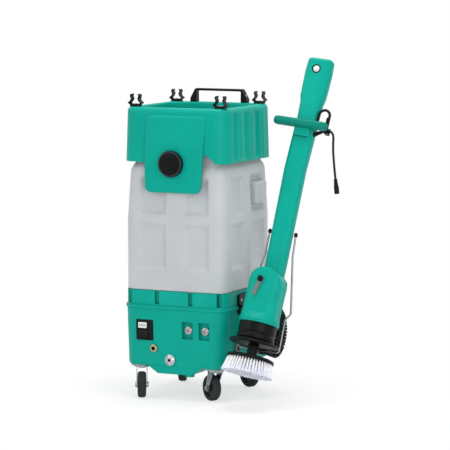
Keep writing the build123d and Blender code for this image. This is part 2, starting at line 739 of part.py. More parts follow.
def chrome_outlet():
    """Domed outlet with a small bore and a threaded tail."""
    nose = OUTLET_R - 3
    tail = -BASE_WALL - OUTLET_TAIL_L
    points = [
        (OUTLET_BORE_R, OUTLET_OUT),
        (OUTLET_BORE_R + 2, OUTLET_OUT),
        (nose - 3, OUTLET_OUT - 2),
        (nose, OUTLET_OUT - 5),
        (nose, 6),
        (OUTLET_R, 5),
        (OUTLET_R, 0),
        (OUTLET_TAIL_R, 0),
        (OUTLET_TAIL_R, tail),
        (OUTLET_BORE_R, tail),
    ]
    return turned(points, (OUTLET_XZ[0], OUTLET_SEAT, OUTLET_XZ[1]), (0, -1, 0))


def button_bezel(x):
    """Chrome ring on the pocket floor."""
    bore = BUTTON_R + BUTTON_FIT
    outer = BUTTON_R + BEZEL_WIDE
    edge = BEZEL_WIDE / 2.5
    ring = [(bore, 0), (bore, BEZEL_T), (outer - edge, BEZEL_T), (outer, BEZEL_T - edge), (outer, 0)]
    return turned(ring, (x, POCKET_FLOOR, BUTTON_Z), (0, -1, 0))


def push_button(x):
    """Button head, stem through the wall and keeper disc behind it."""
    back = BUTTON_TRAVEL + KEEPER_GAP
    top = BEZEL_T + BUTTON_OUT
    keeper = -BASE_WALL - KEEPER_GAP
    points = [
        (0, top + 0.6),
        (BUTTON_R - 3, top + 0.4),
        (BUTTON_R - 1, top),
        (BUTTON_R, top - 1),
        (BUTTON_R, back),
        (STEM_R, back),
        (STEM_R, keeper),
        (KEEPER_R, keeper),
        (KEEPER_R, keeper - KEEPER_T),
        (0, keeper - KEEPER_T),
    ]
    return turned(points, (x, POCKET_FLOOR, BUTTON_Z), (0, -1, 0))


def rack_plate():
    """Black plate on the right wall with two saddles for the rack arms."""
    body = block(PLATE_X + PLATE_T / 2, PLATE_Y, PLATE_Z, PLATE_T, *PLATE_SIZE)
    body = fillet(body.edges().filter_by(Axis.X), PLATE_R)
    for z in ARM_Z:
        body -= disc(ARM_X, PLATE_Y - PLATE_SIZE[0], z, WIRE_R + RUN_FIT, 2 * PLATE_SIZE[0], (0, 1, 0))
    return body


ARM_X = PLATE_X + PLATE_T
ARM_Z = [PLATE_Z - drop for drop in ARM_DROP]


def charge_socket():
    """Square socket on the right wall with a round well."""
    y, z = SOCKET_YZ
    body = block(SOCKET_FACE + SOCKET_T / 2 + SOCKET_LIFT, y, z, SOCKET_T, *SOCKET_SIZE)
    body = fillet(body.edges().filter_by(Axis.X), SOCKET_R)
    body += disc(SOCKET_FACE + 1, y, z, SOCKET_TAIL_R - RUN_FIT, BASE_WALL + SOCKET_TAIL_L, (-1, 0, 0))
    body -= disc(SOCKET_FACE - SOCKET_WELL_L, y, z, SOCKET_WELL_R, 2 * SOCKET_WELL_L + SOCKET_T, (1, 0, 0))
    return body


def caster_place(name):
    """Location of a caster: under its corner, turned to its swivel angle."""
    side_x, side_y, angle = CASTERS[name]
    return Pos(side_x * CASTER_X, side_y * CASTER_Y, 0) * Rot(0, 0, angle)


CASTER_TOP = BASE_BOTTOM - CASTER_PLATE_T
CROWN_TOP = CASTER_TOP - RACE_GAP
FORK_HALF = WHEEL_W / 2 + FORK_GAP


def caster_plate(name):
    """Top plate with the kingpin, fixed under a corner of the base."""
    side_x, side_y, _ = CASTERS[name]
    plate = block(0, 0, BASE_BOTTOM - CASTER_PLATE_T / 2, CASTER_PLATE, CASTER_PLATE, CASTER_PLATE_T)
    pin_low = CROWN_TOP - CROWN_T - KINGPIN_HEAD / 2
    pin = disc(0, 0, pin_low, KINGPIN_R, CASTER_TOP - pin_low + 1, (0, 0, 1))
    head = disc(0, 0, pin_low - KINGPIN_HEAD / 2, KINGPIN_R + KINGPIN_LIP, KINGPIN_HEAD - RACE_GAP, (0, 0, 1))
    return Pos(side_x * CASTER_X, side_y * CASTER_Y, 0) * (plate + pin + head)


def caster_fork(name):
    """Pressed fork: round crown, two raked legs and the axle bolt."""
    crown = disc(0, 0, CROWN_TOP - CROWN_T, CROWN_R, CROWN_T, (0, 0, 1))
    crown -= disc(0, 0, CROWN_TOP - CROWN_T - 1, KINGPIN_R + RUN_FIT, CROWN_T + 2, (0, 0, 1))
    half, top, eye = LEG_TOP_W / 2, CROWN_TOP - 1, LEG_EYE_R - 1
    raked = Polyline(
        (-half, top), (half, top), (CASTER_TRAIL + eye, WHEEL_R), (CASTER_TRAIL - eye, WHEEL_R), close=True
    )
    leg = make_face(raked) + Pos(CASTER_TRAIL, WHEEL_R) * Circle(LEG_EYE_R)
    leg -= Pos(CASTER_TRAIL, WHEEL_R) * Circle(AXLE_R)
    body = crown
    for start in (FORK_HALF, -FORK_HALF - FORK_T):
        plane = Plane((start, 0, 0), x_dir=(0, 1, 0), z_dir=(1, 0, 0))
        body += extrude(plane * leg, FORK_T)
    end = FORK_HALF + FORK_T
    line = [(0, -end - BOLT_H), (BOLT_R, -end - BOLT_H), (BOLT_R, -end), (AXLE_R, -end)]
    line += [(r, -h) for r, h in reversed(line)]
    bolt = turned(line, (0, CASTER_TRAIL, WHEEL_R), (1, 0, 0))
    place = caster_place(name)
    return [place * body, place * bolt]


def caster_wheel(name):
    """Hub disc with a web and a boss that runs on the axle."""
    rim = WHEEL_R - TYRE_T
    half = WHEEL_W / 2
    bore = AXLE_R + RUN_FIT
    side = [
        (bore, half + FORK_GAP - BOSS_GAP),
        (HUB_BOSS_R, half + FORK_GAP - BOSS_GAP),
        (HUB_BOSS_R, HUB_WEB),
        (rim - HUB_LIP - 1, HUB_WEB - 1),
        (rim - HUB_LIP, half - 1),
        (rim, half - 1),
    ]
    points = side + [(r, -h) for r, h in reversed(side)]
    return caster_place(name) * turned(points, (0, CASTER_TRAIL, WHEEL_R), (1, 0, 0))


def caster_tyre(name):
    """Rounded tread moulded round the hub."""
    rim = WHEEL_R - TYRE_T
    half = WHEEL_W / 2
    side = [(rim, half - 1), (rim + 2, half), (WHEEL_R - 4, half), (WHEEL_R, half - 5)]
    points = side + [(r, -h) for r, h in reversed(side)]
    return caster_place(name) * turned(points, (0, CASTER_TRAIL, WHEEL_R), (1, 0, 0))


def battery_pack():
    """Sealed battery with two terminals on the floor of the base."""
    floor = BASE_BOTTOM + BASE_WALL
    x, y = BATTERY_AT
    body = block(x, y, floor + BATTERY[2] / 2, *BATTERY)
    for side in (-1, 1):
        at_x, at_y = x + side * TERMINAL_AT[0], y + TERMINAL_AT[1]
        body += block(at_x, at_y, floor + BATTERY[2], TERMINAL, TERMINAL, TERMINAL)
    return body


def pump_unit():
    """Diaphragm pump on its foot, in line with the brass coupling."""
    x, z = BRASS_XZ
    floor = BASE_BOTTOM + BASE_WALL
    barrel = disc(x, PUMP_FRONT, z, PUMP_R, PUMP_L, (0, 1, 0))
    foot = block(x, PUMP_FRONT + PUMP_L / 2, (floor + z) / 2, PUMP_R, PUMP_L / 2, z - floor)
    port = disc(x, PUMP_Y, z, HOSE_R, PUMP_R + PORT_L, (0, 0, 1))
    nose = disc(x, PUMP_FRONT, z, HOSE_R, PORT_L, (0, -1, 0))
    return barrel + foot + port + nose


def hose(start, direction, length):
    """Straight length of reinforced hose with its bore."""
    plane = Plane(start, z_dir=direction)
    return extrude(plane * (Circle(HOSE_R) - Circle(HOSE_BORE)), length)


def feed_hose():
    """Hose from the tank floor down to the pump."""
    low = BRASS_XZ[1] + PUMP_R + PORT_L
    return hose((BRASS_XZ[0], PUMP_Y, low), (0, 0, 1), BASE_TOP + TANK_WALL - low)


def pressure_hose():
    """Hose from the pump to the tail of the brass coupling."""
    tail = BRASS_SEAT + BASE_WALL + BRASS_TAIL_L
    return hose((BRASS_XZ[0], tail, BRASS_XZ[1]), (0, 1, 0), PUMP_FRONT - PORT_L - tail)


def control_box():
    """Sealed controller on the floor beside the pump."""
    floor = BASE_BOTTOM + BASE_WALL
    return block(*CONTROL_AT, floor + CONTROL[2] / 2, *CONTROL)


TOOL = Pos(*TOOL_AT) * Rot(0, LEAN_OUT, 0) * Rot(-LEAN_BACK, 0, 0) * Rot(0, 0, TOOL_YAW)
PLATE_LOW = BRISTLE_L
HUB_LOW = BRISTLE_L + BRISTLE_SLICE + BRUSH_PLATE_T
DISC_LOW = HUB_LOW + HUB_L
GEAR_LOW = DISC_LOW + DISC_T
GEAR_TOP = GEAR_LOW + GEARBOX_H
HOUSING_FACE = -HOUSING_DEPTH / 2
STEM_TOP_Y, STEM_TOP, STEM_TOP_W = STEM_LINE[-1]
STEM_MID_Y = STEM_LINE[-2][0]
CROSS_SHARE = (CROSS_Z - STEM_LINE[-2][1]) / (STEM_TOP - STEM_LINE[-2][1])
CROSS_BACK = STEM_MID_Y + (STEM_TOP_Y - STEM_MID_Y) * CROSS_SHARE - STEM_DEPTH / 2
HEAD_BACK = STEM_TOP_Y + STEM_DEPTH / 2 - 1
TRIGGER_Y = HEAD_BACK + TRIGGER_OFF - 2


def bristles():
    """Tufts that flare from a slice of the backing, tips on the plane z = 0."""
    slice_disc = disc(0, 0, PLATE_LOW, BRUSH_R, BRISTLE_SLICE, (0, 0, 1))
    root = PLATE_LOW + BRISTLE_SLICE / 3
    tufts = []
    for radius, count in TUFT_RINGS:
        lean = Vector(radius * (TIP_FLARE - 1), 0, -root)
        section = Pos(radius, 0, root) * RegularPolygon(TUFT_R, 3)
        tuft = extrude(section, lean.length, dir=lean.normalized())
        for index in range(count):
            tufts.append(Rot(0, 0, 360.0 / count * (index + 0.5 * (count % 2))) * tuft)
    return slice_disc.fuse(*tufts)


def brush_plate():
    """Round backing with a chamfered shoulder and a socket for the hub."""
    low = PLATE_LOW + BRISTLE_SLICE
    floor = HUB_LOW - SPIGOT_L
    points = [
        (0, low),
        (BRUSH_R, low),
        (BRUSH_R, low + 5),
        (BRUSH_R - 6, HUB_LOW),
        (SPIGOT_R, HUB_LOW),
        (SPIGOT_R, floor),
        (0, floor),
    ]
    return turned(points, (0, 0, 0), (0, 0, 1))


def drive_hub():
    """Hub and shaft that carry the brush up into the gearbox."""
    foot = HUB_LOW - SPIGOT_L
    top = GEAR_LOW + DRIVE_UP
    shaft = SHAFT_BORE_R - RUN_FIT
    shoulder = DISC_LOW - HUB_GAP
    points = [
        (0, foot),
        (SPIGOT_R, foot),
        (SPIGOT_R, HUB_LOW),
        (HUB_R + HUB_FLARE, HUB_LOW),
        (HUB_R, HUB_LOW + HUB_FLARE),
        (HUB_R, shoulder),
        (shaft, shoulder),
        (shaft, top),
        (0, top),
    ]
    return turned(points, (0, 0, 0), (0, 0, 1))


def guard_disc():
    """Wide splash disc under the gearbox."""
    points = [
        (SHAFT_BORE_R, DISC_LOW),
        (DISC_R - 4, DISC_LOW),
        (DISC_R, DISC_LOW + 3),
        (DISC_R, DISC_LOW + 7),
        (DISC_R - 3, DISC_LOW + 9),
        (GEARBOX_R, GEAR_LOW),
        (SHAFT_BORE_R, GEAR_LOW),
    ]
    return turned(points, (0, 0, 0), (0, 0, 1))


def gearbox():
    """Black gearbox ring with a groove and a blind bore for the shaft."""
    top_bore = GEAR_LOW + DRIVE_UP + 0.5
    points = [
        (SHAFT_BORE_R, GEAR_LOW),
        (GEARBOX_R - 2, GEAR_LOW),
        (GEARBOX_R, GEAR_LOW + 3),
        (GEARBOX_R, GEAR_LOW + 14),
        (GEARBOX_R - 2.5, GEAR_LOW + 16),
        (GEARBOX_R - 2.5, GEAR_LOW + 20),
        (GEARBOX_R, GEAR_LOW + 22),
        (GEARBOX_R, GEAR_TOP),
        (0, GEAR_TOP),
        (0, top_bore),
        (SHAFT_BORE_R, top_bore),
    ]
    return turned(points, (0, 0, 0), (0, 0, 1))


def motor():
    """Drive motor on top of the gearbox."""
    return disc(0, 0, GEAR_TOP, MOTOR_R, MOTOR_H, (0, 0, 1))


def motor_housing():
    """Moulded housing: flared skirt, arched body and two cheeks for the pivot."""
    round_r = HOUSING_SKIRT / 2 - 0.5
    stages = [
        (HOUSING_SKIRT, HOUSING_SKIRT, round_r, GEAR_TOP),
        (HOUSING_SKIRT, HOUSING_SKIRT, round_r, GEAR_TOP + SKIRT_LIP),
        (HOUSING_W, HOUSING_DEPTH, HOUSING_R, GEAR_TOP + SKIRT_FLARE),
        (HOUSING_W, HOUSING_DEPTH, HOUSING_R, HOUSING_TOP),
    ]
    half = HOUSING_SKIRT / 2 + 1
    spring = HOUSING_TOP - HOUSING_W / 2
    tall = Pos(0, (GEAR_TOP - 1 + spring) / 2) * Rectangle(2 * half, spring - GEAR_TOP + 1)
    arch = tall + Pos(0, spring) * Circle(HOUSING_W / 2)
    body = tapered(stages) & extrude(facing(half) * arch, 2 * half)
    body -= disc(0, 0, GEAR_TOP - 1, MOTOR_R + MOTOR_FIT, MOTOR_H + MOTOR_FIT + 1, (0, 0, 1))
    front = PIVOT_Y - BARREL_R - SLOT_GAP
    floor = PIVOT_Z - BARREL_R - SLOT_GAP
    slot = (STEM_W + 2 * SLOT_GAP, 2 * HOUSING_DEPTH, HOUSING_W)
    body -= block(0, front + slot[1] / 2, floor + slot[2] / 2, *slot)
    body -= disc(-HOUSING_W / 2 - 1, PIVOT_Y, PIVOT_Z, PIVOT_R + RUN_FIT, HOUSING_W + 2, (1, 0, 0))
    body -= disc(LEVER_X, HOUSING_FACE - 1, LEVER_Z, SPINDLE_R + RUN_FIT, SPINDLE_L + 2, (0, 1, 0))
    return body


def pivot_pin():
    """Pin through both cheeks and the barrel of the stem."""
    length = HOUSING_W - 2 * PIN_INSET
    return disc(-length / 2, PIVOT_Y, PIVOT_Z, PIVOT_R, length, (1, 0, 0))


def lock_lever():
    """Grey tilt-lock lever with a round eye, lying down the front."""
    eye = Circle(LEVER_W / 2 + 3)
    blade = Pos(0, -LEVER_L / 2) * RectangleRounded(LEVER_W, LEVER_L, LEVER_W / 2.6)
    shape = Rot(0, 0, -LEVER_LEAN) * (eye + blade) - Circle(SPINDLE_R + RUN_FIT)
    return Pos(LEVER_X, 0, LEVER_Z) * extrude(facing(HOUSING_FACE - LEVER_GAP) * shape, LEVER_T)


def lock_knob():
    """Black knob and spindle that hold the lever on the housing."""
    seat = LEVER_T + 2 * LEVER_GAP
    top = seat + KNOB_H
    points = [
        (0, top),
        (KNOB_R - 3, top - 0.6),
        (KNOB_R, top - 4),
        (KNOB_R, seat),
        (SPINDLE_R, seat),
        (SPINDLE_R, -SPINDLE_L),
        (0, -SPINDLE_L),
    ]
    return turned(points, (LEVER_X, HOUSING_FACE, LEVER_Z), (0, -1, 0))


def tool_stem():
    """Long moulded stem, bowed forward at mid-height, with a barrel at its foot."""
    sections = []
    for y, z, width in STEM_LINE:
        sections.append(Pos(0, y, z) * RectangleRounded(width, STEM_DEPTH, STEM_CORNER))
    body = loft(sections, ruled=True)
    body += disc(-STEM_W / 2, PIVOT_Y, PIVOT_Z, BARREL_R, STEM_W, (1, 0, 0))
    return body - disc(-STEM_W, PIVOT_Y, PIVOT_Z, PIVOT_R + RUN_FIT, 2 * STEM_W, (1, 0, 0))


def tool_head():
    """Flat grip head with a hanging hole and trigger ears on its back."""
    depth = STEM_DEPTH - 2
    stages = [(width, depth, STEM_CORNER, z) for width, z in HEAD_LINE]
    body = Pos(0, STEM_TOP_Y, 0) * tapered(stages)
    body = fillet(body.faces().sort_by(Axis.Z)[-1].edges(), HEAD_EDGE_R)
    x, z, radius = HANG_HOLE
    body -= disc(x, STEM_TOP_Y - STEM_DEPTH, z, radius, 2 * STEM_DEPTH, (0, 1, 0))
    for side in (-1, 1):
        ear_x = side * (TRIGGER_W / 2 + EAR_T / 2 + EAR_GAP)
        ear_y = HEAD_BACK + TRIGGER_OFF / 2 - 2
        ear = block(ear_x, ear_y, TRIGGER_TOP, EAR_T, TRIGGER_OFF + 8, EAR_H)
        body += chamfer(ear.edges().filter_by(Axis.X), 3)
    body -= disc(-TRIGGER_W, TRIGGER_Y, TRIGGER_TOP, TRIGGER_PIN_R + RUN_FIT, 2 * TRIGGER_W, (1, 0, 0))
    return body


def trigger():
    """Thin squeeze lever that hangs behind the head on its own trunnion."""
    y, top = TRIGGER_Y, TRIGGER_TOP
    reach = TRIGGER_W / 2 + EAR_T + EAR_GAP
    pin = disc(-reach, y, top, TRIGGER_PIN_R, 2 * reach, (1, 0, 0))
    eye = disc(-TRIGGER_W / 2, y, top, TRIGGER_PIN_R + 3, TRIGGER_W, (1, 0, 0))
    line = Polyline((y + 2, top), (y + 4, top - TRIGGER_L / 2), (y + 1, top - TRIGGER_L))
    plane = Plane((-TRIGGER_W / 2, 0, 0), x_dir=(0, 1, 0), z_dir=(1, 0, 0))
    strip = extrude(plane * trace(line, TRIGGER_T), TRIGGER_W)
    return strip + eye + pin


def cross_handle():
    """Second-hand grip: a rounded bar across the front of the stem."""
    y = CROSS_BACK - CROSS_DEPTH / 2
    low, high = CROSS_Z - CROSS_H / 2, CROSS_Z + CROSS_H / 2
    bar = Pos(CROSS_X, y, 0) * slab(CROSS_L, CROSS_DEPTH, CROSS_DEPTH / 2 - 1, low, high)
    rims = bar.faces().sort_by(Axis.Z)[-1].edges() + bar.faces().sort_by(Axis.Z)[0].edges()
    bar = fillet(rims, CROSS_EDGE_R)
    saddle = block(0, y + CROSS_DEPTH / 4, CROSS_Z - SADDLE_DROP, STEM_W - 16, CROSS_DEPTH / 2, SADDLE_H)
    saddle = chamfer(saddle.faces().sort_by(Axis.Y)[0].edges(), 6)
    return bar + saddle - tool_stem()


HOOK_X = CROSS_X + CROSS_L / 2 - HOOK_INSET


def cord_hook():
    """Cord hook on the back of the grip's right end: a strap, a shelf and a lip."""
    low, high = CROSS_Z - HOOK_DROP, CROSS_Z + HOOK_RISE
    strap = block(HOOK_X, CROSS_BACK + HOOK_T / 2, (low + high) / 2, HOOK_W, HOOK_T, high - low)
    shelf = block(HOOK_X, CROSS_BACK + HOOK_REACH / 2, low + HOOK_T / 2, HOOK_W, HOOK_REACH, HOOK_T)
    lip_y = CROSS_BACK + HOOK_REACH - HOOK_T / 2
    lip = block(HOOK_X, lip_y, low + HOOK_LIP / 2, HOOK_W, HOOK_T, HOOK_LIP)
    body = strap + shelf + lip
    return fillet(body.edges().filter_by(Axis.Y).group_by(Axis.Z)[-1], HOOK_W / 4)


GLAND_AT = (STEM_TOP_W / 2 - GLAND_SINK, CROSS_BACK + GLAND_BACK, GLAND_Z)


def cord_gland():
    """Tapered strain relief where the lead leaves the stem."""
    cord_r = CORD_D / 2
    points = [
        (0, 0),
        (GLAND_R, 0),
        (GLAND_R, GLAND_LIP),
        (GLAND_R - 1.5, GLAND_LIP + 2),
        (cord_r + 1.2, GLAND_L),
        (0, GLAND_L),
    ]
    return turned(points, GLAND_AT, GLAND_DIR) - tool_stem()


def rack_route():
    """Points of the rack wire in the scrubber's frame, cap to cap."""
    seat = DISC_LOW - WIRE_R - SEAT_GAP
    right = [
        (RACK_TOP_X, RACK_TOP_Y, RACK_TOP_Z),
        (RACK_BEND_X, RACK_BEND_Y, RACK_BEND_Z),
        (RACK_KNEE_X, RACK_KNEE_Y, RACK_KNEE_Z),
        (RACK_NECK_X, RACK_SEAT_Y, RACK_NECK_Z),
        (RACK_SEAT_X, RACK_SEAT_Y, seat),
    ]
    return right + [(-x, y, z) for x, y, z in reversed(right)]


def wire(points, bend):
    """Round wire along straight runs with equal bends."""
    path = FilletPolyline(*points, radius=bend)
    start = Plane(points[0], z_dir=Vector(*points[1]) - Vector(*points[0]))
    return sweep(start * Circle(WIRE_R), path=path)


def rack_point(height):
    """Place on the left upright of the rack at a height of the cart."""
    places = [(TOOL * Pos(*point)).position for point in rack_route()[5:9]]
    for low, high in zip(places, places[1:]):
        if low.Z <= height <= high.Z:
            return low + (high - low) * ((height - low.Z) / (high.Z - low.Z))
    return places[-1]


def wire_rack():
    """Bent wire cradle with two arms that lie in the saddles of the plate."""
    loop = TOOL * wire(rack_route(), RACK_BEND)
    reach = PLATE_Y + PLATE_SIZE[0] / 2 - 6
    arms = []
    for z in ARM_Z:
        root = rack_point(z)
        turn = root.Y + ARM_LEAD
        arms.append(wire([(root.X, root.Y, z), (ARM_X, turn, z), (ARM_X, reach, z)], ARM_BEND))
    return loop.fuse(*arms)


def rack_caps():
    """Rubber caps with rounded tops on the two free ends of the rack wire."""
    wall, low, high = RACK_CAP_R, -RACK_CAP_L, RACK_CAP_R
    profile = [
        (0, 0),
        (WIRE_R, 0),
        (WIRE_R, low),
        (wall - 1, low),
        (wall, low + 1),
        (wall, high - 3),
        (wall - 3, high),
        (0, high),
    ]
    caps = []
    for side in (-1, 1):
        end = Vector(side * RACK_TOP_X, RACK_TOP_Y, RACK_TOP_Z)
        below = Vector(side * RACK_BEND_X, RACK_BEND_Y, RACK_BEND_Z)
        caps.append(TOOL * turned(profile, end, end - below))
    return caps


SPARE_SEAT = Plane((SPARE_FACE + SPARE_PEG_L, *SPARE_YZ), x_dir=(0, 1, 0), z_dir=(-1, 0, 0))
SPARE = SPARE_SEAT.location * Pos(0, 0, -HUB_LOW - SPARE_GAP)


def spare_peg():
    """Peg with a collar that carries the spare brush on the right wall."""
    tip = SPARE_PEG_L + SPIGOT_L - SPARE_GAP
    tail = SPARE_TAIL_R - RUN_FIT
    collar = SPARE_PEG_R + SPARE_COLLAR
    points = [
        (0, tip),
        (SPIGOT_R - SPARE_GAP, tip),
        (SPIGOT_R - SPARE_GAP, SPARE_PEG_L),
        (collar, SPARE_PEG_L),
        (collar, SPARE_PEG_L - SPARE_COLLAR),
        (SPARE_PEG_R, SPARE_PEG_L - 2 * SPARE_COLLAR),
        (SPARE_PEG_R, SPARE_GAP),
        (tail, SPARE_GAP),
        (tail, -BASE_WALL - SPARE_COLLAR),
        (0, -BASE_WALL - SPARE_COLLAR),
    ]
    return turned(points, (SPARE_FACE, *SPARE_YZ), (1, 0, 0))


def cord_route():
    """Points of the lead: out of the gland, over the hook, then hanging."""
    along = Vector(*GLAND_DIR).normalized()
    start = Vector(*GLAND_AT) + along * GLAND_L
    crest = start + along * CORD_RISE
    points = [(TOOL * Pos(*start)).position, (TOOL * Pos(*crest)).position]
    for step in CORD_HANG:
        points.append(points[-1] + Vector(*step))
    return points


def cord_radii(points):
    """Bend radius at each inner point, from the shorter run and the turn."""
    radii = []
    for before, here, after in zip(points, points[1:], points[2:]):
        run_in, run_out = here - before, after - here
        turn = math.radians(run_in.get_angle(run_out))
        radii.append(CORD_SHARE * min(run_in.length, run_out.length) / math.tan(turn / 2))
    return radii


def tool_lead():
    """Round lead swept along its runs and tangent arcs."""
    points = cord_route()
    radii = cord_radii(points)
    path = FilletPolyline(*points, radius=radii)
    start = Plane(points[0], z_dir=points[1] - points[0])
    lead = sweep(start * Circle(CORD_D / 2), path=path)
    tube = math.pi * CORD_D**2 / 4 * path.length
    print("lead radii", [round(r, 1) for r in radii], "length", round(path.length, 1))
    print("lead volume", round(lead.volume, 1), "section x length", round(tube, 1))
    return lead


def lead_connector():
    """In-line connector on the end of the lead with a tapered sleeve and a socket."""
    points = cord_route()
    half = CONNECTOR_D / 2
    well = half - CONNECTOR_WALL
    profile = [
        (0, 0),
        (CORD_D / 2 + 1.5, 0),
        (half - 1, CONNECTOR_L - CONNECTOR_GRIP),
        (half, CONNECTOR_L - CONNECTOR_GRIP + 3),
        (half, CONNECTOR_L),
        (well, CONNECTOR_L),
        (well, CONNECTOR_L - CONNECTOR_WELL),
        (0, CONNECTOR_L - CONNECTOR_WELL),
    ]
    return turned(profile, points[-1], points[-1] - points[-2])


def build_parts():
    """All nodes of the cart in the cart's own frame, by name."""
    nodes = {
        "base_housing": base_housing(),
        "solution_tank": solution_tank(),
        "upper_tank": upper_tank(),
        "screw_cap": screw_cap(),
        "cap_gasket": cap_gasket(),
        "tool_clips": [tool_clip(x, y) for x in (-CLIP_AT, CLIP_AT) for y in (-CLIP_AT, CLIP_AT)],
        "carry_handle": carry_handle(),
        "switch_panel": switch_panel(),
        "meter_window": meter_window(),
        "power_rocker": power_rocker(),
        "brass_coupling": brass_coupling(),
        "chrome_outlet": chrome_outlet(),
        "button_bezels": [button_bezel(x) for x in BUTTON_X],
        "push_button_left": push_button(BUTTON_X[0]),
        "push_button_right": push_button(BUTTON_X[1]),
        "rack_plate": rack_plate(),
        "charge_socket": charge_socket(),
        "caster_plates": [caster_plate(name) for name in CASTERS],
        "battery_pack": battery_pack(),
        "pump_unit": pump_unit(),
        "hoses": [feed_hose(), pressure_hose()],
        "control_box": control_box(),
        "wire_rack": wire_rack(),
        "rack_caps": rack_caps(),
        "spare_peg": spare_peg(),
        "spare_brush_plate": SPARE * brush_plate(),
        "spare_bristles": SPARE * bristles(),
    }
    for name in CASTERS:
        nodes["caster_fork_" + name] = caster_fork(name)
        nodes["caster_wheel_" + name] = caster_wheel(name)
        nodes["caster_tyre_" + name] = caster_tyre(name)
    tool_pieces = (
        bristles, brush_plate, drive_hub, guard_disc, gearbox, motor, motor_housing, pivot_pin,
        lock_lever, lock_knob, tool_stem, tool_head, trigger, cross_handle, cord_hook, cord_gland,
    )
    for piece in tool_pieces:
        nodes["scrubber_" + piece.__name__.replace("tool_", "")] = TOOL * piece()
    return nodes


def bounds(shapes):
    """Lowest and highest corner of a list of shapes."""
    boxes = [shape.bounding_box() for shape in shapes]
    low = [min(tuple(b.min)[i] for b in boxes) for i in range(3)]
    high = [max(tuple(b.max)[i] for b in boxes) for i in range(3)]
    return low, high


def flat(shape):
    """Shapes of a node as a list."""
    return list(shape) if isinstance(shape, (list, tuple)) else [shape]


NODES = build_parts()
LOW, HIGH = bounds([s for shape in NODES.values() for s in flat(shape)])
NODES["tool_lead"] = tool_lead()
NODES["lead_connector"] = lead_connector()
SHIFT = Pos(-(LOW[0] + HIGH[0]) / 2, -(LOW[1] + HIGH[1]) / 2, -LOW[2])

for name, shape in NODES.items():
    solids = [SHIFT * solid for item in flat(shape) for solid in item.solids()]
    export_step(Compound(children=solids) if len(solids) > 1 else solids[0], f"parts/{name}.step")
print("shift", SHIFT.position, "size", [round(h - l, 1) for l, h in zip(LOW, HIGH)])
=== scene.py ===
"""Cleaning cart with a rotary hand scrubber: softened mouldings, small details, bristles and lead."""

import json
import logging
import math
import random
from collections.abc import Callable, Iterable, Sequence
from dataclasses import dataclass, field
from enum import Enum
from typing import Any

import bmesh
import bpy
from mathutils import Matrix, Vector, noise

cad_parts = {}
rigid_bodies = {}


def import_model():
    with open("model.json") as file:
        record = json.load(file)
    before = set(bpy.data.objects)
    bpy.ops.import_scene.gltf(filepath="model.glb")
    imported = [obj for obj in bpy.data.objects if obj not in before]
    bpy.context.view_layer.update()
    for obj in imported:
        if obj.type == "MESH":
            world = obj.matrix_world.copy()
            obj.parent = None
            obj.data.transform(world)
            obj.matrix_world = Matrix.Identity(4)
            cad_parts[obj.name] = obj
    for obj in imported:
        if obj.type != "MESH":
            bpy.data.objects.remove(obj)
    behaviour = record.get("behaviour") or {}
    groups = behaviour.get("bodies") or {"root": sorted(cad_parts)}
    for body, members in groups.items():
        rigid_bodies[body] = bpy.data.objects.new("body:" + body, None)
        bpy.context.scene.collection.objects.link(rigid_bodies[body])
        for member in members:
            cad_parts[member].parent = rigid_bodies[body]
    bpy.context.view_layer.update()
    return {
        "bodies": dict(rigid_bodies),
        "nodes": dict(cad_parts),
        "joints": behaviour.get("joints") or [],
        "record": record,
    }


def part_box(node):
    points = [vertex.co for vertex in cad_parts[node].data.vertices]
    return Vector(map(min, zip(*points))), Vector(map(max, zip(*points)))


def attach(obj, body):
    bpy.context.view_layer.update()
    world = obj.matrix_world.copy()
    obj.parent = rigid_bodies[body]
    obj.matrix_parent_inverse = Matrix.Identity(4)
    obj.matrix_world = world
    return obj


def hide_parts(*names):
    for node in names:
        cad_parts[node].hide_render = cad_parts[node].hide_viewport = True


LOG = logging.getLogger("cleaning_cart")
MM = 0.001
MERGE_M, MERGE_MM = 1e-5, 1e-4
FLAT_DEG, SMOOTH_DEG = 1.0, 60.0
CORNERS = ("front_left", "front_right", "rear_left", "rear_right")
X_AXIS, Y_AXIS, Z_AXIS = (1.0, 0.0, 0.0), (0.0, 1.0, 0.0), (0.0, 0.0, 1.0)
FORWARD = (0.0, -1.0, 0.0)
ORIGIN = (0.0, 0.0, 0.0)
Mesh = bpy.types.Mesh
Pair = tuple[float, float]
Triple = tuple[float, float, float]
Profile = tuple[Pair, ...]


class Grain(Enum):
    """How a moulding's surface was made: the spread of its roughness and the share of its bump."""

    SATIN = (0.08, 1.0)
    SPARK = (0.16, 1.0)
    GLOSS = (0.08, 0.4)


def linear(code: str) -> tuple[float, float, float, float]:
    """Turn an sRGB hex colour into linear RGBA.

    Args:
        code: Six hex digits, with or without a leading hash.

    Returns:
        Linear red, green, blue and an alpha of one.
    """
    digits = code.lstrip("#")
    channels = [int(digits[i : i + 2], 16) / 255 for i in (0, 2, 4)]
    values = [c / 12.92 if c <= 0.04045 else ((c + 0.055) / 1.055) ** 2.4 for c in channels]
    return (values[0], values[1], values[2], 1.0)


def add(tree: Any, kind: str, settings: dict[str | int, Any], links: dict[str | int, Any]) -> Any:
    """Add a shader node with its settings and links.

    Args:
        tree: The node tree.
        kind: The node's type name, without its common first words.
        settings: Attributes, or inputs by name or number, with their values.
        links: Inputs by name or number with the sockets that feed them.

    Returns:
        The new node.
    """
    made = tree.nodes.new("ShaderNode" + kind)
    for name, value in settings.items():
        if isinstance(name, str) and hasattr(made, name):
            setattr(made, name, value)
        else:
            made.inputs[name].default_value = value
    for name, socket in links.items():
        tree.links.new(socket, made.inputs[name])
    return made


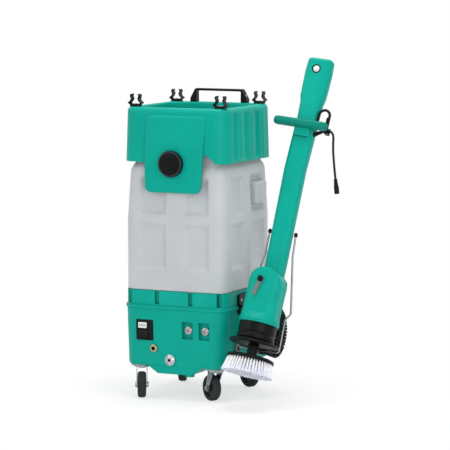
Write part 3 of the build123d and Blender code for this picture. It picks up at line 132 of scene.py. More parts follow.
def blank(name: str) -> tuple[bpy.types.Material, Any, Any]:
    """Start a material with object coordinates.

    Args:
        name: The material's name.

    Returns:
        The material, its tree and the object coordinate socket.
    """
    material = bpy.data.materials.new(name)
    material.use_nodes = True
    tree = material.node_tree
    tree.nodes.clear()
    return material, tree, add(tree, "TexCoord", {}, {}).outputs["Object"]


def ramp(tree: Any, value: Any, low: tuple[float, str], high: tuple[float, str]) -> Any:
    """Add a colour ramp with two stops.

    Args:
        tree: The node tree.
        value: Socket that runs along the ramp.
        low: Position and colour of the first stop.
        high: Position and colour of the last stop.

    Returns:
        The colour socket.
    """
    node = add(tree, "ValToRGB", {}, {"Fac": value})
    for stop, (position, colour) in zip(node.color_ramp.elements, (low, high)):
        stop.position, stop.color = position, linear(colour)
    return node.outputs["Color"]


def clouds(tree: Any, place: Any, size_mm: float, detail: float, rough: float = 0.5) -> Any:
    """Noise socket whose features are a size in millimetres."""
    settings = {"Scale": 1.0 / (size_mm * MM), "Detail": detail, "Roughness": rough}
    return add(tree, "TexNoise", settings, {"Vector": place}).outputs["Fac"]


def drawn(tree: Any, place: Any, share: float) -> Any:
    """Coordinates that draw a pattern out along Z."""
    return add(tree, "Mapping", {"Scale": (1.0, 1.0, share)}, {"Vector": place}).outputs["Vector"]


def span(tree: Any, value: Any, to: Pair, source: Pair = (0.0, 1.0)) -> Any:
    """Socket of a value brought from one range to another."""
    names = ("From Min", "From Max", "To Min", "To Max")
    return add(tree, "MapRange", dict(zip(names, (*source, *to))), {"Value": value}).outputs["Result"]


def bumped(tree: Any, height: Any, strength: float, distance_mm: float, **links: Any) -> Any:
    """Normal socket of a bump."""
    settings = {"Strength": strength, "Distance": distance_mm * MM}
    return add(tree, "Bump", settings, {"Height": height, **links}).outputs["Normal"]


def shaded(tree: Any, settings: dict[str | int, Any], links: dict[str | int, Any]) -> None:
    """Add the surface shader and the material's output."""
    shader = add(tree, "BsdfPrincipled", settings, links)
    add(tree, "OutputMaterial", {}, {"Surface": shader.outputs["BSDF"]})


@dataclass(frozen=True)
class Moulding:
    """Moulded plastic or rubber: even colour, faint clouding, fine grain, rubbed edges, painted shade in
    corners.
    """

    name: str
    colour: str
    shade: str
    rubbed: str
    # corner: colour of the painted shade that ambient occlusion mixes into corners, grooves and recesses
    corner: str
    roughness: float = 0.42
    grain: Grain = Grain.SATIN
    grain_mm: float = 1.6
    bump: float = 0.12
    specular: float = 0.5
    subsurface: float = 0.0
    edge_mm: float = 1.0
    shade_reach_mm: float = 14.0
    cloud_mm: float = 90.0
    rub_mm: float = 9.0
    rub_drawn: float = 0.22
    bump_mm: float = 0.4

    def build(self) -> bpy.types.Material:
        """Make the material with its grain and its drawn-out rubbing marks.

        Returns:
            The material.
        """
        material, tree, place = blank(self.name)
        spread, share = self.grain.value
        rub = clouds(tree, drawn(tree, place, self.rub_drawn), self.rub_mm, 6.0, 0.7)
        edges = add(tree, "Bevel", {"samples": 6, "Radius": self.edge_mm * MM}, {}).outputs["Normal"]
        fine = clouds(tree, place, self.grain_mm, 2.0)
        limits = (max(0.04, self.roughness - spread / 2), self.roughness + spread / 2)
        settings = {
            "IOR": 1.5,
            "Specular IOR Level": self.specular,
            "Subsurface Weight": self.subsurface,
            "Subsurface Scale": 0.012,
        }
        links = {
            "Base Color": self.tint(tree, place, rub),
            "Roughness": span(tree, rub, limits),
            "Normal": bumped(tree, fine, self.bump * share, self.bump_mm, Normal=edges),
        }
        shaded(tree, settings, links)
        return material

    def tint(self, tree: Any, place: Any, rub: Any) -> Any:
        """Add the clouded colour, lighter on rubbed edges and darkened by painted shade in corners and
        recesses.

        Args:
            tree: The material's tree.
            place: Object coordinates.
            rub: Rubbing marks.

        Returns:
            The colour socket.
        """
        cloud = clouds(tree, place, self.cloud_mm, 3.0)
        colour = ramp(tree, cloud, (0.35, self.shade), (0.68, self.colour))
        shape = add(tree, "NewGeometry", {}, {})
        # Painted shade: ambient occlusion darkens corners, grooves and recesses towards the corner colour
        near = add(tree, "AmbientOcclusion", {"samples": 8, "Distance": self.shade_reach_mm * MM}, {})
        marks = span(tree, rub, (0.0, 0.25), (0.63, 0.8))
        edge = span(tree, shape.outputs["Pointiness"], (0.0, 0.35), (0.52, 0.6))
        worn = add(tree, "Math", {"operation": "MAXIMUM"}, {0: marks, 1: edge}).outputs["Value"]
        painted_shade = span(tree, near.outputs["AO"], (0.0, 0.6), (0.62, 0.2))
        for share, code in ((worn, self.rubbed), (painted_shade, self.corner)):
            settings = {"data_type": "RGBA", 7: linear(code)}
            colour = add(tree, "Mix", settings, {0: share, 6: colour}).outputs[2]
        return colour


@dataclass(frozen=True)
class Plating:
    """Metal surface: plated, turned or pressed, with fine draw lines and light tarnish."""

    name: str
    colour: str
    tarnish: str
    roughness: float
    line_mm: float = 0.8
    bump: float = 0.08
    tarnish_mm: float = 14.0
    line_drawn: float = 0.08
    bump_mm: float = 0.2

    def build(self) -> bpy.types.Material:
        """Make the material with its draw lines and tarnish.

        Returns:
            The material.
        """
        material, tree, place = blank(self.name)
        cloud = clouds(tree, place, self.tarnish_mm, 4.0)
        lines = clouds(tree, drawn(tree, place, self.line_drawn), self.line_mm, 2.0)
        links = {
            "Base Color": ramp(tree, cloud, (0.3, self.tarnish), (0.62, self.colour)),
            "Roughness": span(tree, cloud, (max(0.03, self.roughness - 0.05), self.roughness + 0.1)),
            "Normal": bumped(tree, lines, self.bump, self.bump_mm),
        }
        shaded(tree, {"Metallic": 1.0}, links)
        return material


@dataclass(frozen=True)
class Filament:
    """Extruded nylon filament: clear colour at its root, a second colour at its tip, slight gloss along its
    length; the white filament's darker tip is painted shade.
    """

    name: str
    root: str
    tip: str
    roughness: float = 0.5
    streak_mm: float = 3.0
    bump_mm: float = 0.3

    def build(self) -> bpy.types.Material:
        """Make the material with its streaks along the filament.

        Returns:
            The material.
        """
        material, tree, place = blank(self.name)
        streak = clouds(tree, place, self.streak_mm, 2.0)
        along = add(tree, "Attribute", {"attribute_name": "along"}, {})
        settings = {"operation": "MULTIPLY_ADD", "use_clamp": True, 1: 0.3}
        mixed = add(tree, "Math", settings, {0: streak, 2: along.outputs["Fac"]}).outputs["Value"]
        links = {
            "Base Color": ramp(tree, mixed, (0.3, self.root), (1.0, self.tip)),
            "Normal": bumped(tree, streak, 0.15, self.bump_mm),
        }
        shaded(tree, {"Roughness": self.roughness, "IOR": 1.53}, links)
        return material


# Rotationally moulded polyethylene: satin, even teal with a faint orange peel
TEAL = Moulding(
    "teal_polyethylene", "#009f8e", "#009988", "#12a797", "#045a50", 0.4, Grain.SATIN, 1.8, 0.14, 0.1,
    edge_mm=3.0, shade_reach_mm=24.0,
)
# Darker, duller teal of the cross handle; on the strips in the collar's grooves it is painted shade
DARK_TEAL = Moulding(
    "dark_teal_and_groove_shade", "#00806f", "#007a69", "#0f8d7d", "#04493f", 0.5, Grain.SPARK, 1.4, 0.2, 0.12,
    edge_mm=2.0, shade_reach_mm=20.0,
)
# Natural blow-moulded polyethylene: milky, light enters a little way
TANK = Moulding(
    "natural_polyethylene", "#bbbfc2", "#b5b9bc", "#c6c9cb", "#a3a7aa", 0.36, Grain.SATIN, 2.2, 0.1, 0.3,
    subsurface=0.1, edge_mm=5.0, shade_reach_mm=24.0,
)
# Injection moulded black nylon: spark-eroded grain, soft sheen
NYLON = Moulding("black_nylon", "#0d1010", "#0a0c0c", "#171b1a", "#060707", 0.38, Grain.SPARK, 1.2, 0.2, 0.12)
# Black polypropylene of the screw cap and gearbox: smoother, with a clear sheen on its edges
POLYPROPYLENE = Moulding(
    "black_polypropylene", "#080a0a", "#060707", "#141817", "#040505", 0.36, Grain.SATIN, 1.2, 0.12, 0.12
)
# Black ABS panel: finer and glossier
ABS = Moulding("black_abs", "#101413", "#0c0f0e", "#1c2120", "#070808", 0.3, Grain.GLOSS, 1.0, 0.12, 0.14)
# Grey ABS: spark-eroded, matt
GREY = Moulding("grey_abs", "#6f7775", "#666d6b", "#8b9290", "#3f4543", 0.45, Grain.SPARK, 1.2, 0.18)
# Cast acrylic window: smooth and glossy
WINDOW = Moulding("white_acrylic", "#e6e9ea", "#dde1e3", "#eef0f1", "#b9bdbf", 0.18, Grain.GLOSS, 2.0, 0.05)
# Printed bars of the gauge: matt ink
INK = Moulding("grey_ink", "#8a9092", "#808688", "#989ea0", "#63686a", 0.55, Grain.SATIN, 0.8, 0.05)
# White nylon screw caps: satin
CAP_WHITE = Moulding("white_nylon", "#dfe2e4", "#d5d9db", "#eaecee", "#9a9ea1", 0.4, Grain.SATIN, 1.0, 0.1)
# Red silicone of seals and lit rings: soft, slightly waxy
SILICONE = Moulding("red_silicone", "#b0585c", "#a04d51", "#c27b7d", "#5e2c2e", 0.4, Grain.SATIN, 0.8, 0.06)
# Old nitrile seal of the outlet: dark red-brown, matt
NITRILE = Moulding(
    "red_brown_nitrile", "#4a2422", "#3f1e1c", "#63322f", "#1d0d0c", 0.55, Grain.SPARK, 0.8, 0.1, 0.2
)
# Vulcanised rubber of the tyres: matt dark grey with dust in its grain
TYRE = Moulding("grey_rubber", "#303636", "#292e2e", "#3f4646", "#171b1c", 0.7, Grain.SPARK, 1.4, 0.3, 0.14)
# Dark grey nylon of the wheel hubs and the cap's rim ring: satin; on the cap its grey is partly painted
# highlight of the rim
HUB = Moulding("grey_nylon", "#2a2f30", "#242829", "#3a4041", "#151819", 0.45, Grain.SPARK, 1.2, 0.18, 0.2)
# Black rubber of caps, gland and hoses: matt
RUBBER = Moulding(
    "black_rubber", "#121414", "#0e1010", "#1f2222", "#080909", 0.6, Grain.SPARK, 1.4, 0.25, 0.16
)
# PVC sheath of the lead: smooth, slightly waxy
PVC = Moulding("black_pvc", "#141717", "#101212", "#222626", "#090a0a", 0.4, Grain.SATIN, 1.0, 0.12, 0.2)
# Bright chrome plate of the outlet, bezels and buttons
CHROME = Plating("chrome_plate", "#c6cace", "#aeb3b8", 0.14, 0.6, 0.04)
# Drawn steel wire, nickel plated: mid grey between its highlights
WIRE = Plating("nickel_wire", "#8b9095", "#777c81", 0.16, 0.6, 0.05)
# Zinc-plated pressed steel of the casters
ZINC = Plating("zinc_steel", "#a9afb4", "#878e94", 0.28, 0.9, 0.12)
# Turned brass, dulled by handling
BRASS = Plating("turned_brass", "#b9b28c", "#918a66", 0.3, 0.5, 0.1)
# Nylon filaments of both brushes; the white filament's slightly darker, bluer tip colour is painted shade of
# the tips
WHITE_FILAMENT = Filament("white_nylon_filament", "#fdfdff", "#f4f6ff", 0.5)
BLACK_FILAMENT = Filament("black_nylon_filament", "#0c0d0d", "#171a19", 0.55)


def closed(build: Any, place: Matrix) -> Mesh:
    """Move a bmesh to its place and turn it into a mesh.

    Args:
        build: The bmesh, freed here.
        place: Transform to the row frame.

    Returns:
        The mesh.
    """
    bmesh.ops.transform(build, matrix=place, verts=build.verts)
    mesh = bpy.data.meshes.new("piece")
    build.to_mesh(mesh)
    build.free()
    return mesh


def opened(mesh: Mesh, build: Any = None) -> Any:
    """Take a mesh into a bmesh.

    Args:
        mesh: The mesh, removed here.
        build: The bmesh, a new one if none is given.

    Returns:
        The bmesh.
    """
    build = bmesh.new() if build is None else build
    build.from_mesh(mesh)
    bpy.data.meshes.remove(mesh)
    return build


def turned(profile: Sequence[Pair], place: Matrix, steps: int = 48) -> Mesh:
    """Spin a profile about the Z axis of a place.

    Args:
        profile: Radius and height points in millimetres.
        place: Transform from the profile's millimetres to the row frame.
        steps: Sides of the turned body.

    Returns:
        The mesh, closed wherever the profile starts and ends on the axis or meets itself.
    """
    build = bmesh.new()
    verts = [build.verts.new((radius, 0.0, height)) for radius, height in profile]
    edges = [build.edges.new(pair) for pair in zip(verts, verts[1:])]
    full = 2 * math.pi
    bmesh.ops.spin(
        build, geom=verts + edges, cent=ORIGIN, axis=Z_AXIS, angle=full, steps=steps, use_merge=True
    )
    bmesh.ops.remove_doubles(build, verts=build.verts, dist=MERGE_MM)
    bmesh.ops.recalc_face_normals(build, faces=build.faces)
    return closed(build, place)


def rounded(build: Any, edges: Sequence[Any], radius: float, segments: int) -> None:
    """Round edges of a bmesh.

    Args:
        build: The bmesh.
        edges: The edges.
        radius: Edge radius in the bmesh's own units.
        segments: Facets across each edge.
    """
    bmesh.ops.bevel(
        build, geom=edges, offset=radius, segments=segments, profile=0.5, affect="EDGES", material=-1
    )


def block(size: Triple) -> Any:
    """Start a bmesh as a block about the origin.

    Args:
        size: Lengths along X, Y and Z.

    Returns:
        The bmesh.
    """
    build = bmesh.new()
    bmesh.ops.create_cube(build, size=1.0)
    bmesh.ops.scale(build, vec=size, verts=build.verts)
    return build


def bar(size: Triple, place: Matrix, edge: float, segments: int = 2) -> Mesh:
    """Make a block with rounded edges.

    Args:
        size: Lengths along X, Y and Z in millimetres.
        place: Transform from millimetres to the row frame.
        edge: Edge radius in millimetres.
        segments: Facets across each edge.

    Returns:
        The mesh.
    """
    build = block(size)
    rounded(build, build.edges[:], edge, segments)
    return closed(build, place)


def placed(at: Vector) -> Matrix:
    """Millimetre frame at a point, unturned."""
    return Matrix.Translation(at) @ Matrix.Scale(MM, 4)


def facing(at: Vector, way: Sequence[float], up: Sequence[float] = Z_AXIS) -> Matrix:
    """Millimetre frame at a point whose Z axis looks along a direction.

    Args:
        at: The point in the row frame.
        way: Direction of the Z axis.
        up: Direction that the Y axis leans to.

    Returns:
        The transform.
    """
    z = Vector(way).normalized()
    x = Vector(up).cross(z).normalized()
    turn = Matrix((x, z.cross(x), z)).transposed().to_4x4()
    return Matrix.Translation(at) @ turn @ Matrix.Scale(MM, 4)


def middle(node: str) -> Vector:
    """Centre of a node's box."""
    low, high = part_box(node)
    return (low + high) / 2


def clear_edges(build: Any, angle: float) -> list[Any]:
    """Edges between two faces that meet at more than an angle in degrees."""
    limit = math.radians(angle)
    return [e for e in build.edges if len(e.link_faces) == 2 and e.calc_face_angle(0.0) > limit]


@dataclass
class Workshop:
    """Holds the CAD nodes and the finishes, and turns meshes into finished pieces."""

    nodes: dict[str, Any]
    slots: dict[str, str]
    bodies: dict[str, str]
    made: dict[str, bpy.types.Material] = field(default_factory=dict)

    def material(self, finish: Any) -> bpy.types.Material:
        """Find the material of a finish, made once.

        Args:
            finish: The finish.

        Returns:
            The material.
        """
        if finish.name not in self.made:
            self.made[finish.name] = finish.build()
        return self.made[finish.name]

    def dress(self, finish: Any, *names: str) -> None:
        """Assign a finish to CAD nodes that stay as they are.

        Args:
            finish: The finish.
            names: Node names.
        """
        for name in names:
            mesh = self.nodes[name].data
            mesh.materials.clear()
            mesh.materials.append(self.material(finish))
            LOG.info("dressed %s in %s", name, finish.name)

    def enter(self, name: str, data: Any, body: str, slot: str, *replaced: str) -> bpy.types.Object:
        """Put an object's data in the scene, riding on a body.

        Args:
            name: The piece's name.
            data: Its mesh or curve.
            body: The body that carries it.
            slot: The record's material slot; not used.
            replaced: CAD nodes that it replaces.

        Returns:
            The object.
        """
        made = bpy.data.objects.new(name, data)
        bpy.context.scene.collection.objects.link(made)
        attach(made, body)
        if replaced:
            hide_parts(*replaced)
        return made

    def piece(
        self,
        name: str,
        meshes: Iterable[Mesh],
        finish: Any,
        body: str,
        slot: str,
        *replaced: str,
        crease: float = 40.0,
    ) -> bpy.types.Object:
        """Join meshes into one finished piece that rides on a body.

        Args:
            name: The piece's name.
            meshes: Its meshes in the row frame, removed here.
            finish: Its finish.
            body: The body that carries it.
            slot: The record's material slot.
            replaced: CAD nodes that it replaces.
            crease: Angle in degrees above which an edge looks sharp.

        Returns:
            The object.
        """
        build = bmesh.new()
        for mesh in meshes:
            opened(mesh, build)
        joined = closed(build, Matrix.Identity(4))
        joined.name = name
        joined.shade_smooth()
        joined.set_sharp_from_angle(angle=math.radians(crease))
        joined.materials.append(self.material(finish))
        LOG.info("%s: %d faces in %s", name, len(joined.polygons), finish.name)
        return self.enter(name, joined, body, slot, *replaced)

    def soften(
        self, node: str, finish: Any, edge: float, segments: int = 3, sharp: float = 28.0
    ) -> bpy.types.Object:
        """Replace a CAD node by a merged copy with rounded edges.

        Args:
            node: The node's name.
            finish: Its finish.
            edge: Edge radius in millimetres, zero for edges that stay as they are.
            segments: Facets across each edge.
            sharp: Angle in degrees above which an edge is rounded.

        Returns:
            The copy.
        """
        build = bmesh.new()
        build.from_mesh(self.nodes[node].data)
        bmesh.ops.remove_doubles(build, verts=build.verts, dist=MERGE_M)
        flat = math.radians(FLAT_DEG)
        bmesh.ops.dissolve_limit(build, angle_limit=flat, verts=build.verts, edges=build.edges)
        if edge:
            rounded(build, clear_edges(build, sharp), edge * MM, segments)
        mesh = closed(build, Matrix.Identity(4))
        copy = self.piece(node + "_soft", [mesh], finish, self.bodies[node], self.slots[node], node)
        copy.modifiers.new("even_normals", "WEIGHTED_NORMAL").keep_sharp = True
        return copy


@dataclass
class Studio:
    """Camera at the photograph's angle, soft light and a pale floor."""

    centre: Vector
    azimuth: float = 25.0
    elevation: float = 6.2
    focal_px: float = 2650.0
    mm_per_px: float = 3.1
    floor_px: Pair = (198.6, 391.7)
    image_px: int = 450
    sensor_mm: float = 36.0
    view_end: float = 100.0
    aim: Triple = (0.08, 0.0, 0.5)
    plain_light: float = 0.62
    floor_half: float = 30.0
    fade_reach: Pair = (0.45, 1.1)
    fade_share: Pair = (0.66, 1.0)
    lamps: tuple[tuple[str, Triple, float, float], ...] = (
        ("key_lamp", (-1.7, -2.2, 2.2), 1.6, 17.0),
        ("side_lamp", (2.6, -1.8, 1.3), 1.8, 21.0),
        ("fill_lamp", (1.5, -2.7, 0.7), 1.2, 9.0),
        ("top_lamp", (0.2, 0.0, 3.0), 1.6, 44.0),
    )

    def axes(self) -> tuple[Vector, Vector, Vector]:
        """Work out the camera's directions.

        Returns:
            Right, up and backward.
        """
        a, e = math.radians(self.azimuth), math.radians(self.elevation)
        back = Vector((math.sin(a) * math.cos(e), -math.cos(a) * math.cos(e), math.sin(e)))
        right = Vector((math.cos(a), math.sin(a), 0.0))
        return right, back.cross(right), back

    def camera(self) -> None:
        """Place the camera so that the cart's floor centre falls on its pixel."""
        right, up, back = self.axes()
        half = self.image_px / 2
        ray = right * ((self.floor_px[0] - half) / self.focal_px)
        ray += up * ((half - self.floor_px[1]) / self.focal_px) - back
        eye = self.centre - ray * (self.focal_px * self.mm_per_px * MM)
        lens = bpy.data.cameras.new("studio_camera")
        lens.sensor_width = self.sensor_mm
        lens.lens = self.focal_px / self.image_px * self.sensor_mm
        lens.clip_end = self.view_end
        turn = Matrix((right, up, back)).transposed().to_4x4()
        bpy.context.scene.camera = self.hang("studio_camera", lens, Matrix.Translation(eye) @ turn)

    @staticmethod
    def hang(name: str, data: Any, place: Matrix) -> bpy.types.Object:
        """Put a camera or lamp in the scene.

        Args:
            name: Its name.
            data: The camera or lamp.
            place: Where it stands and looks.

        Returns:
            The object.
        """
        holder = bpy.data.objects.new(name, data)
        holder.matrix_world = place
        bpy.context.scene.collection.objects.link(holder)
        return holder

    def lamp(self, name: str, place: Triple, size: float, power: float) -> None:
        """Hang a soft square lamp that looks at the middle of the cart.

        Args:
            name: The lamp's name.
            place: Where it hangs, from the cart's floor centre.
            size: Edge length in metres.
            power: Watts.
        """
        light = bpy.data.lights.new(name, "AREA")
        light.shape, light.size, light.energy = "SQUARE", size, power
        turn = (Vector(self.aim) - Vector(place)).to_track_quat("-Z", "Y").to_matrix().to_4x4()
        self.hang(name, light, Matrix.Translation(self.centre + Vector(place)) @ turn)

    def surroundings(self) -> None:
        """White surroundings for the camera, reflections and glass; plain light for the rest."""
        world = bpy.data.worlds.new("studio")
        bpy.context.scene.world = world
        world.use_nodes = True
        tree = world.node_tree
        tree.nodes.clear()
        links: dict[str | int, Any] = {0: self.seen(tree)}
        for slot, strength in ((1, self.plain_light), (2, 1.0)):
            light = add(tree, "Background", {"Color": linear("#ffffff"), "Strength": strength}, {})
            links[slot] = light.outputs["Background"]
        mixed = add(tree, "MixShader", {}, links)
        add(tree, "OutputWorld", {}, {"Surface": mixed.outputs["Shader"]})

    @staticmethod
    def seen(tree: Any) -> Any:
        """Find the rays of camera, mirror and glass.

        Args:
            tree: The node tree that needs them.

        Returns:
            The socket, which is one for them.
        """
        path = add(tree, "LightPath", {}, {})
        found = path.outputs["Is Camera Ray"]
        for name in ("Is Glossy Ray", "Is Transmission Ray"):
            either = add(tree, "Math", {"operation": "MAXIMUM"}, {0: found, 1: path.outputs[name]})
            found = either.outputs["Value"]
        return found

    def floor(self) -> None:
        """Pale floor that fades to the white surroundings and keeps the contact shadow."""
        build = bmesh.new()
        bmesh.ops.create_grid(build, x_segments=1, y_segments=1, size=self.floor_half)
        mesh = closed(build, Matrix.Identity(4))
        material, tree, place = blank("pale_floor")
        matt = add(tree, "BsdfDiffuse", {"Color": linear("#fafafa")}, {})
        glow = add(tree, "Emission", {"Color": linear("#ffffff"), "Strength": 1.0}, {})
        far = add(tree, "VectorMath", {"operation": "LENGTH"}, {0: place})
        fade = span(tree, far.outputs["Value"], self.fade_share, self.fade_reach)
        share = add(tree, "Math", {"operation": "MULTIPLY"}, {0: self.seen(tree), 1: fade}).outputs["Value"]
        mixed = add(tree, "MixShader", {}, {0: share, 1: matt.outputs["BSDF"], 2: glow.outputs["Emission"]})
        add(tree, "OutputMaterial", {}, {"Surface": mixed.outputs["Shader"]})
        mesh.materials.append(material)
        plane = bpy.data.objects.new("studio_floor", mesh)
        bpy.context.scene.collection.objects.link(plane)

    def build(self) -> None:
        """Set up view, camera, lamps, surroundings and floor."""
        bpy.context.scene.view_settings.view_transform = "Standard"
        self.camera()
        self.surroundings()
        self.floor()
        for lamp in self.lamps:
            self.lamp(*lamp)


def ringed(mesh: Mesh, place: Matrix, count: int) -> Mesh:
    """Repeat a mesh at equal steps round the Z axis of a place.

    Args:
        mesh: The mesh in millimetres, removed here.
        place: Transform from millimetres to the row frame.
        count: How many there are in all.

    Returns:
        The joined mesh.
    """
    build = opened(mesh)
    bmesh.ops.spin(
        build,
        geom=everything(build),
        cent=ORIGIN,
        axis=Z_AXIS,
        angle=2 * math.pi * (count - 1) / count,
        steps=count - 1,
        use_duplicate=True,
    )
    return closed(build, place)


def everything(build: Any) -> list[Any]:
    """All points, edges and faces of a bmesh."""
    return build.verts[:] + build.edges[:] + build.faces[:]


def round_edges(build: Any, radius: float, wanted: Callable[[Any], bool], segments: int = 4) -> None:
    """Round the clear edges of a bmesh that pass a test.

    Args:
        build: The bmesh in millimetres.
        radius: Edge radius.
        wanted: Test of an edge.
        segments: Facets across each edge.
    """
    build.normal_update()
    rounded(build, [e for e in clear_edges(build, 18.0) if wanted(e)], radius, segments)


def between(low: float, high: float) -> Callable[[Any], bool]:
    """Test of an edge that lies between two heights."""
    return lambda edge: all(low < v.co.z < high for v in edge.verts)


def round_box(size: Triple, low: float, corner: float) -> Any:
    """Start a bmesh as a box with rounded upright edges.

    Args:
        size: Lengths along X, Y and Z in millimetres.
        low: Height of its floor.
        corner: Radius of the upright edges.

    Returns:
        The bmesh.
    """
    build = block(size)
    bmesh.ops.translate(build, vec=(0.0, 0.0, low + size[2] / 2), verts=build.verts)
    upright = [e for e in build.edges if abs(e.verts[0].co.z - e.verts[1].co.z) > 1.0]
    rounded(build, upright, corner, 10)
    return build


def cut(build: Any, way: Triple, places: Iterable[float]) -> None:
    """Cut a bmesh square to a direction.

    Args:
        build: The bmesh.
        way: The direction.
        places: Distances of the cuts from the origin.
    """
    for reach in places:
        point = Vector(way) * reach
        bmesh.ops.bisect_plane(
            build, geom=everything(build), dist=MERGE_MM, plane_co=point, plane_no=way
        )


def graded(first: float, last: float, parts: int) -> list[float]:
    """Values at equal steps from a first to a last."""
    return [first + (last - first) * k / parts for k in range(parts + 1)]


def faces_up(build: Any, side: int) -> list[Any]:
    """Faces of a bmesh that look up, or down for a side of minus one."""
    return [f for f in build.faces if f.normal.z * side > 0.9]


def swell(value: float, centre: float, half: float) -> float:
    """Smooth bump that is one at a centre and zero beyond half a width."""
    share = min(1.0, abs(value - centre) / half)
    return math.cos(share * math.pi / 2) ** 2


def step(value: float, low: float, high: float) -> float:
    """Smooth rise from zero to one between two values."""
    share = min(1.0, max(0.0, (value - low) / (high - low)))
    return share * share * (3.0 - 2.0 * share)


def window(value: float, ends: Pair, fades: Pair) -> float:
    """One between two ends, with a smooth rise and a smooth fall inside them."""
    low, high = ends
    return step(value, low, low + fades[0]) * (1.0 - step(value, high - fades[1], high))


def thicken(skin: bpy.types.Object, wall: float) -> None:
    """Give an open skin its wall, inwards."""
    hollow = skin.modifiers.new("wall", "SOLIDIFY")
    hollow.thickness, hollow.offset = wall * MM, -1.0


@dataclass
class SolutionTank:
    """Blow-moulded tank with sloped panels, a drawn-in neck, a rib and a boss."""

    shop: Workshop
    centre: Vector
    width: float = 340.0
    depth: float = 350.0
    corner: float = 42.0
    foot: float = 334.0
    drawn_in: Profile = ((553.0, 0.0), (702.0, 8.0), (724.0, 22.0), (772.0, 22.0))
    columns: Pair = (25.0, 119.0)
    rows: Profile = ((400.0, 541.0), (565.0, 682.0))
    slope: float = 12.5
    recess: float = 10.0
    soft_edges: tuple[Triple, ...] = ((330.0, 335.0, 5.0), (701.0, 725.0, 10.0), (390.0, 690.0, 3.2))
    wall: float = 4.0
    rib_half: float = 13.0
    rib_proud: float = 5.0
    rib_ends: Pair = (350.0, 716.0)
    rib_fade: Pair = (14.0, 14.0)
    rib_parts: int = 10
    rib_reach: float = 24.0
    boss: Triple = (36.0, 80.0, 68.0)
    boss_edge: float = 6.0
    boss_sink: float = 9.5
    boss_at: Pair = (78.0, 622.0)

    def build(self) -> None:
        """Make the skin with its wall, and the boss."""
        look = (TANK, "cart", "tank_plastic")
        piece = self.shop.piece
        skin = piece("solution_tank_skin", [self.skin()], *look, "solution_tank", crease=SMOOTH_DEG)
        thicken(skin, self.wall)
        wall = self.centre + Vector((self.width / 2 - self.boss_sink, *self.boss_at)) * MM
        boss = bar(self.boss, placed(wall), self.boss_edge, 6)
        piece("tank_boss", [boss], *look, crease=SMOOTH_DEG)

    def inset_at(self, height: float) -> float:
        """Work out how far the tank is drawn in.

        Args:
            height: Height in millimetres.

        Returns:
            The inset of each wall at that height.
        """
        points = ((self.foot, 0.0), *self.drawn_in)
        for (low, near), (high, far) in zip(points, points[1:]):
            if height <= high:
                return near + (far - near) * max(0.0, height - low) / (high - low)
        return points[-1][1]

    def skin(self) -> Mesh:
        """Blow the skin: rounded box, cuts round the panels, taper, sloped pockets, soft edges and side rib.

        Returns:
            The open skin, without thickness.
        """
        top = self.drawn_in[-1][0]
        build = round_box((self.width, self.depth, top - self.foot), self.foot, self.corner)
        cut(build, Z_AXIS, [z for z, _ in self.drawn_in[:-1]] + [z for row in self.rows for z in row])
        for way in (X_AXIS, (-1.0, 0.0, 0.0), Y_AXIS, FORWARD):
            cut(build, way, self.columns)
        bmesh.ops.delete(build, geom=faces_up(build, 1), context="FACES")
        pockets = [f for f in build.faces if self.is_pocket(f.calc_center_median())]
        for vert in build.verts:
            inset = self.inset_at(vert.co.z)
            vert.co.x *= 1.0 - 2 * inset / self.width
            vert.co.y *= 1.0 - 2 * inset / self.depth
        bmesh.ops.recalc_face_normals(build, faces=build.faces)
        bmesh.ops.inset_region(
            build,
            faces=pockets,
            thickness=self.slope,
            depth=-self.recess,
            use_even_offset=True,
            use_boundary=True,
        )
        for low, high, radius in self.soft_edges:
            round_edges(build, radius, between(low, high))
        cut(build, Y_AXIS, graded(-self.rib_half, self.rib_half, self.rib_parts))
        for vert in [v for v in build.verts if v.co.x > self.width / 2 - self.rib_reach]:
            share = window(vert.co.z, self.rib_ends, self.rib_fade)
            vert.co.x += self.rib_proud * swell(vert.co.y, 0.0, self.rib_half) * share
        return closed(build, placed(self.centre))

    def is_pocket(self, at: Vector) -> bool:
        """Test a point of the wall.

        Args:
            at: The point in millimetres.

        Returns:
            Whether it lies in one of the panels.
        """
        at_front = abs(at.y) > self.depth / 2 - 1.0
        at_side = abs(at.x) > self.width / 2 - 1.0
        along = abs(at.x) if at_front else abs(at.y)
        inside = self.columns[0] < along < self.columns[1]
        return (at_front or at_side) and inside and any(low < at.z < high for low, high in self.rows)


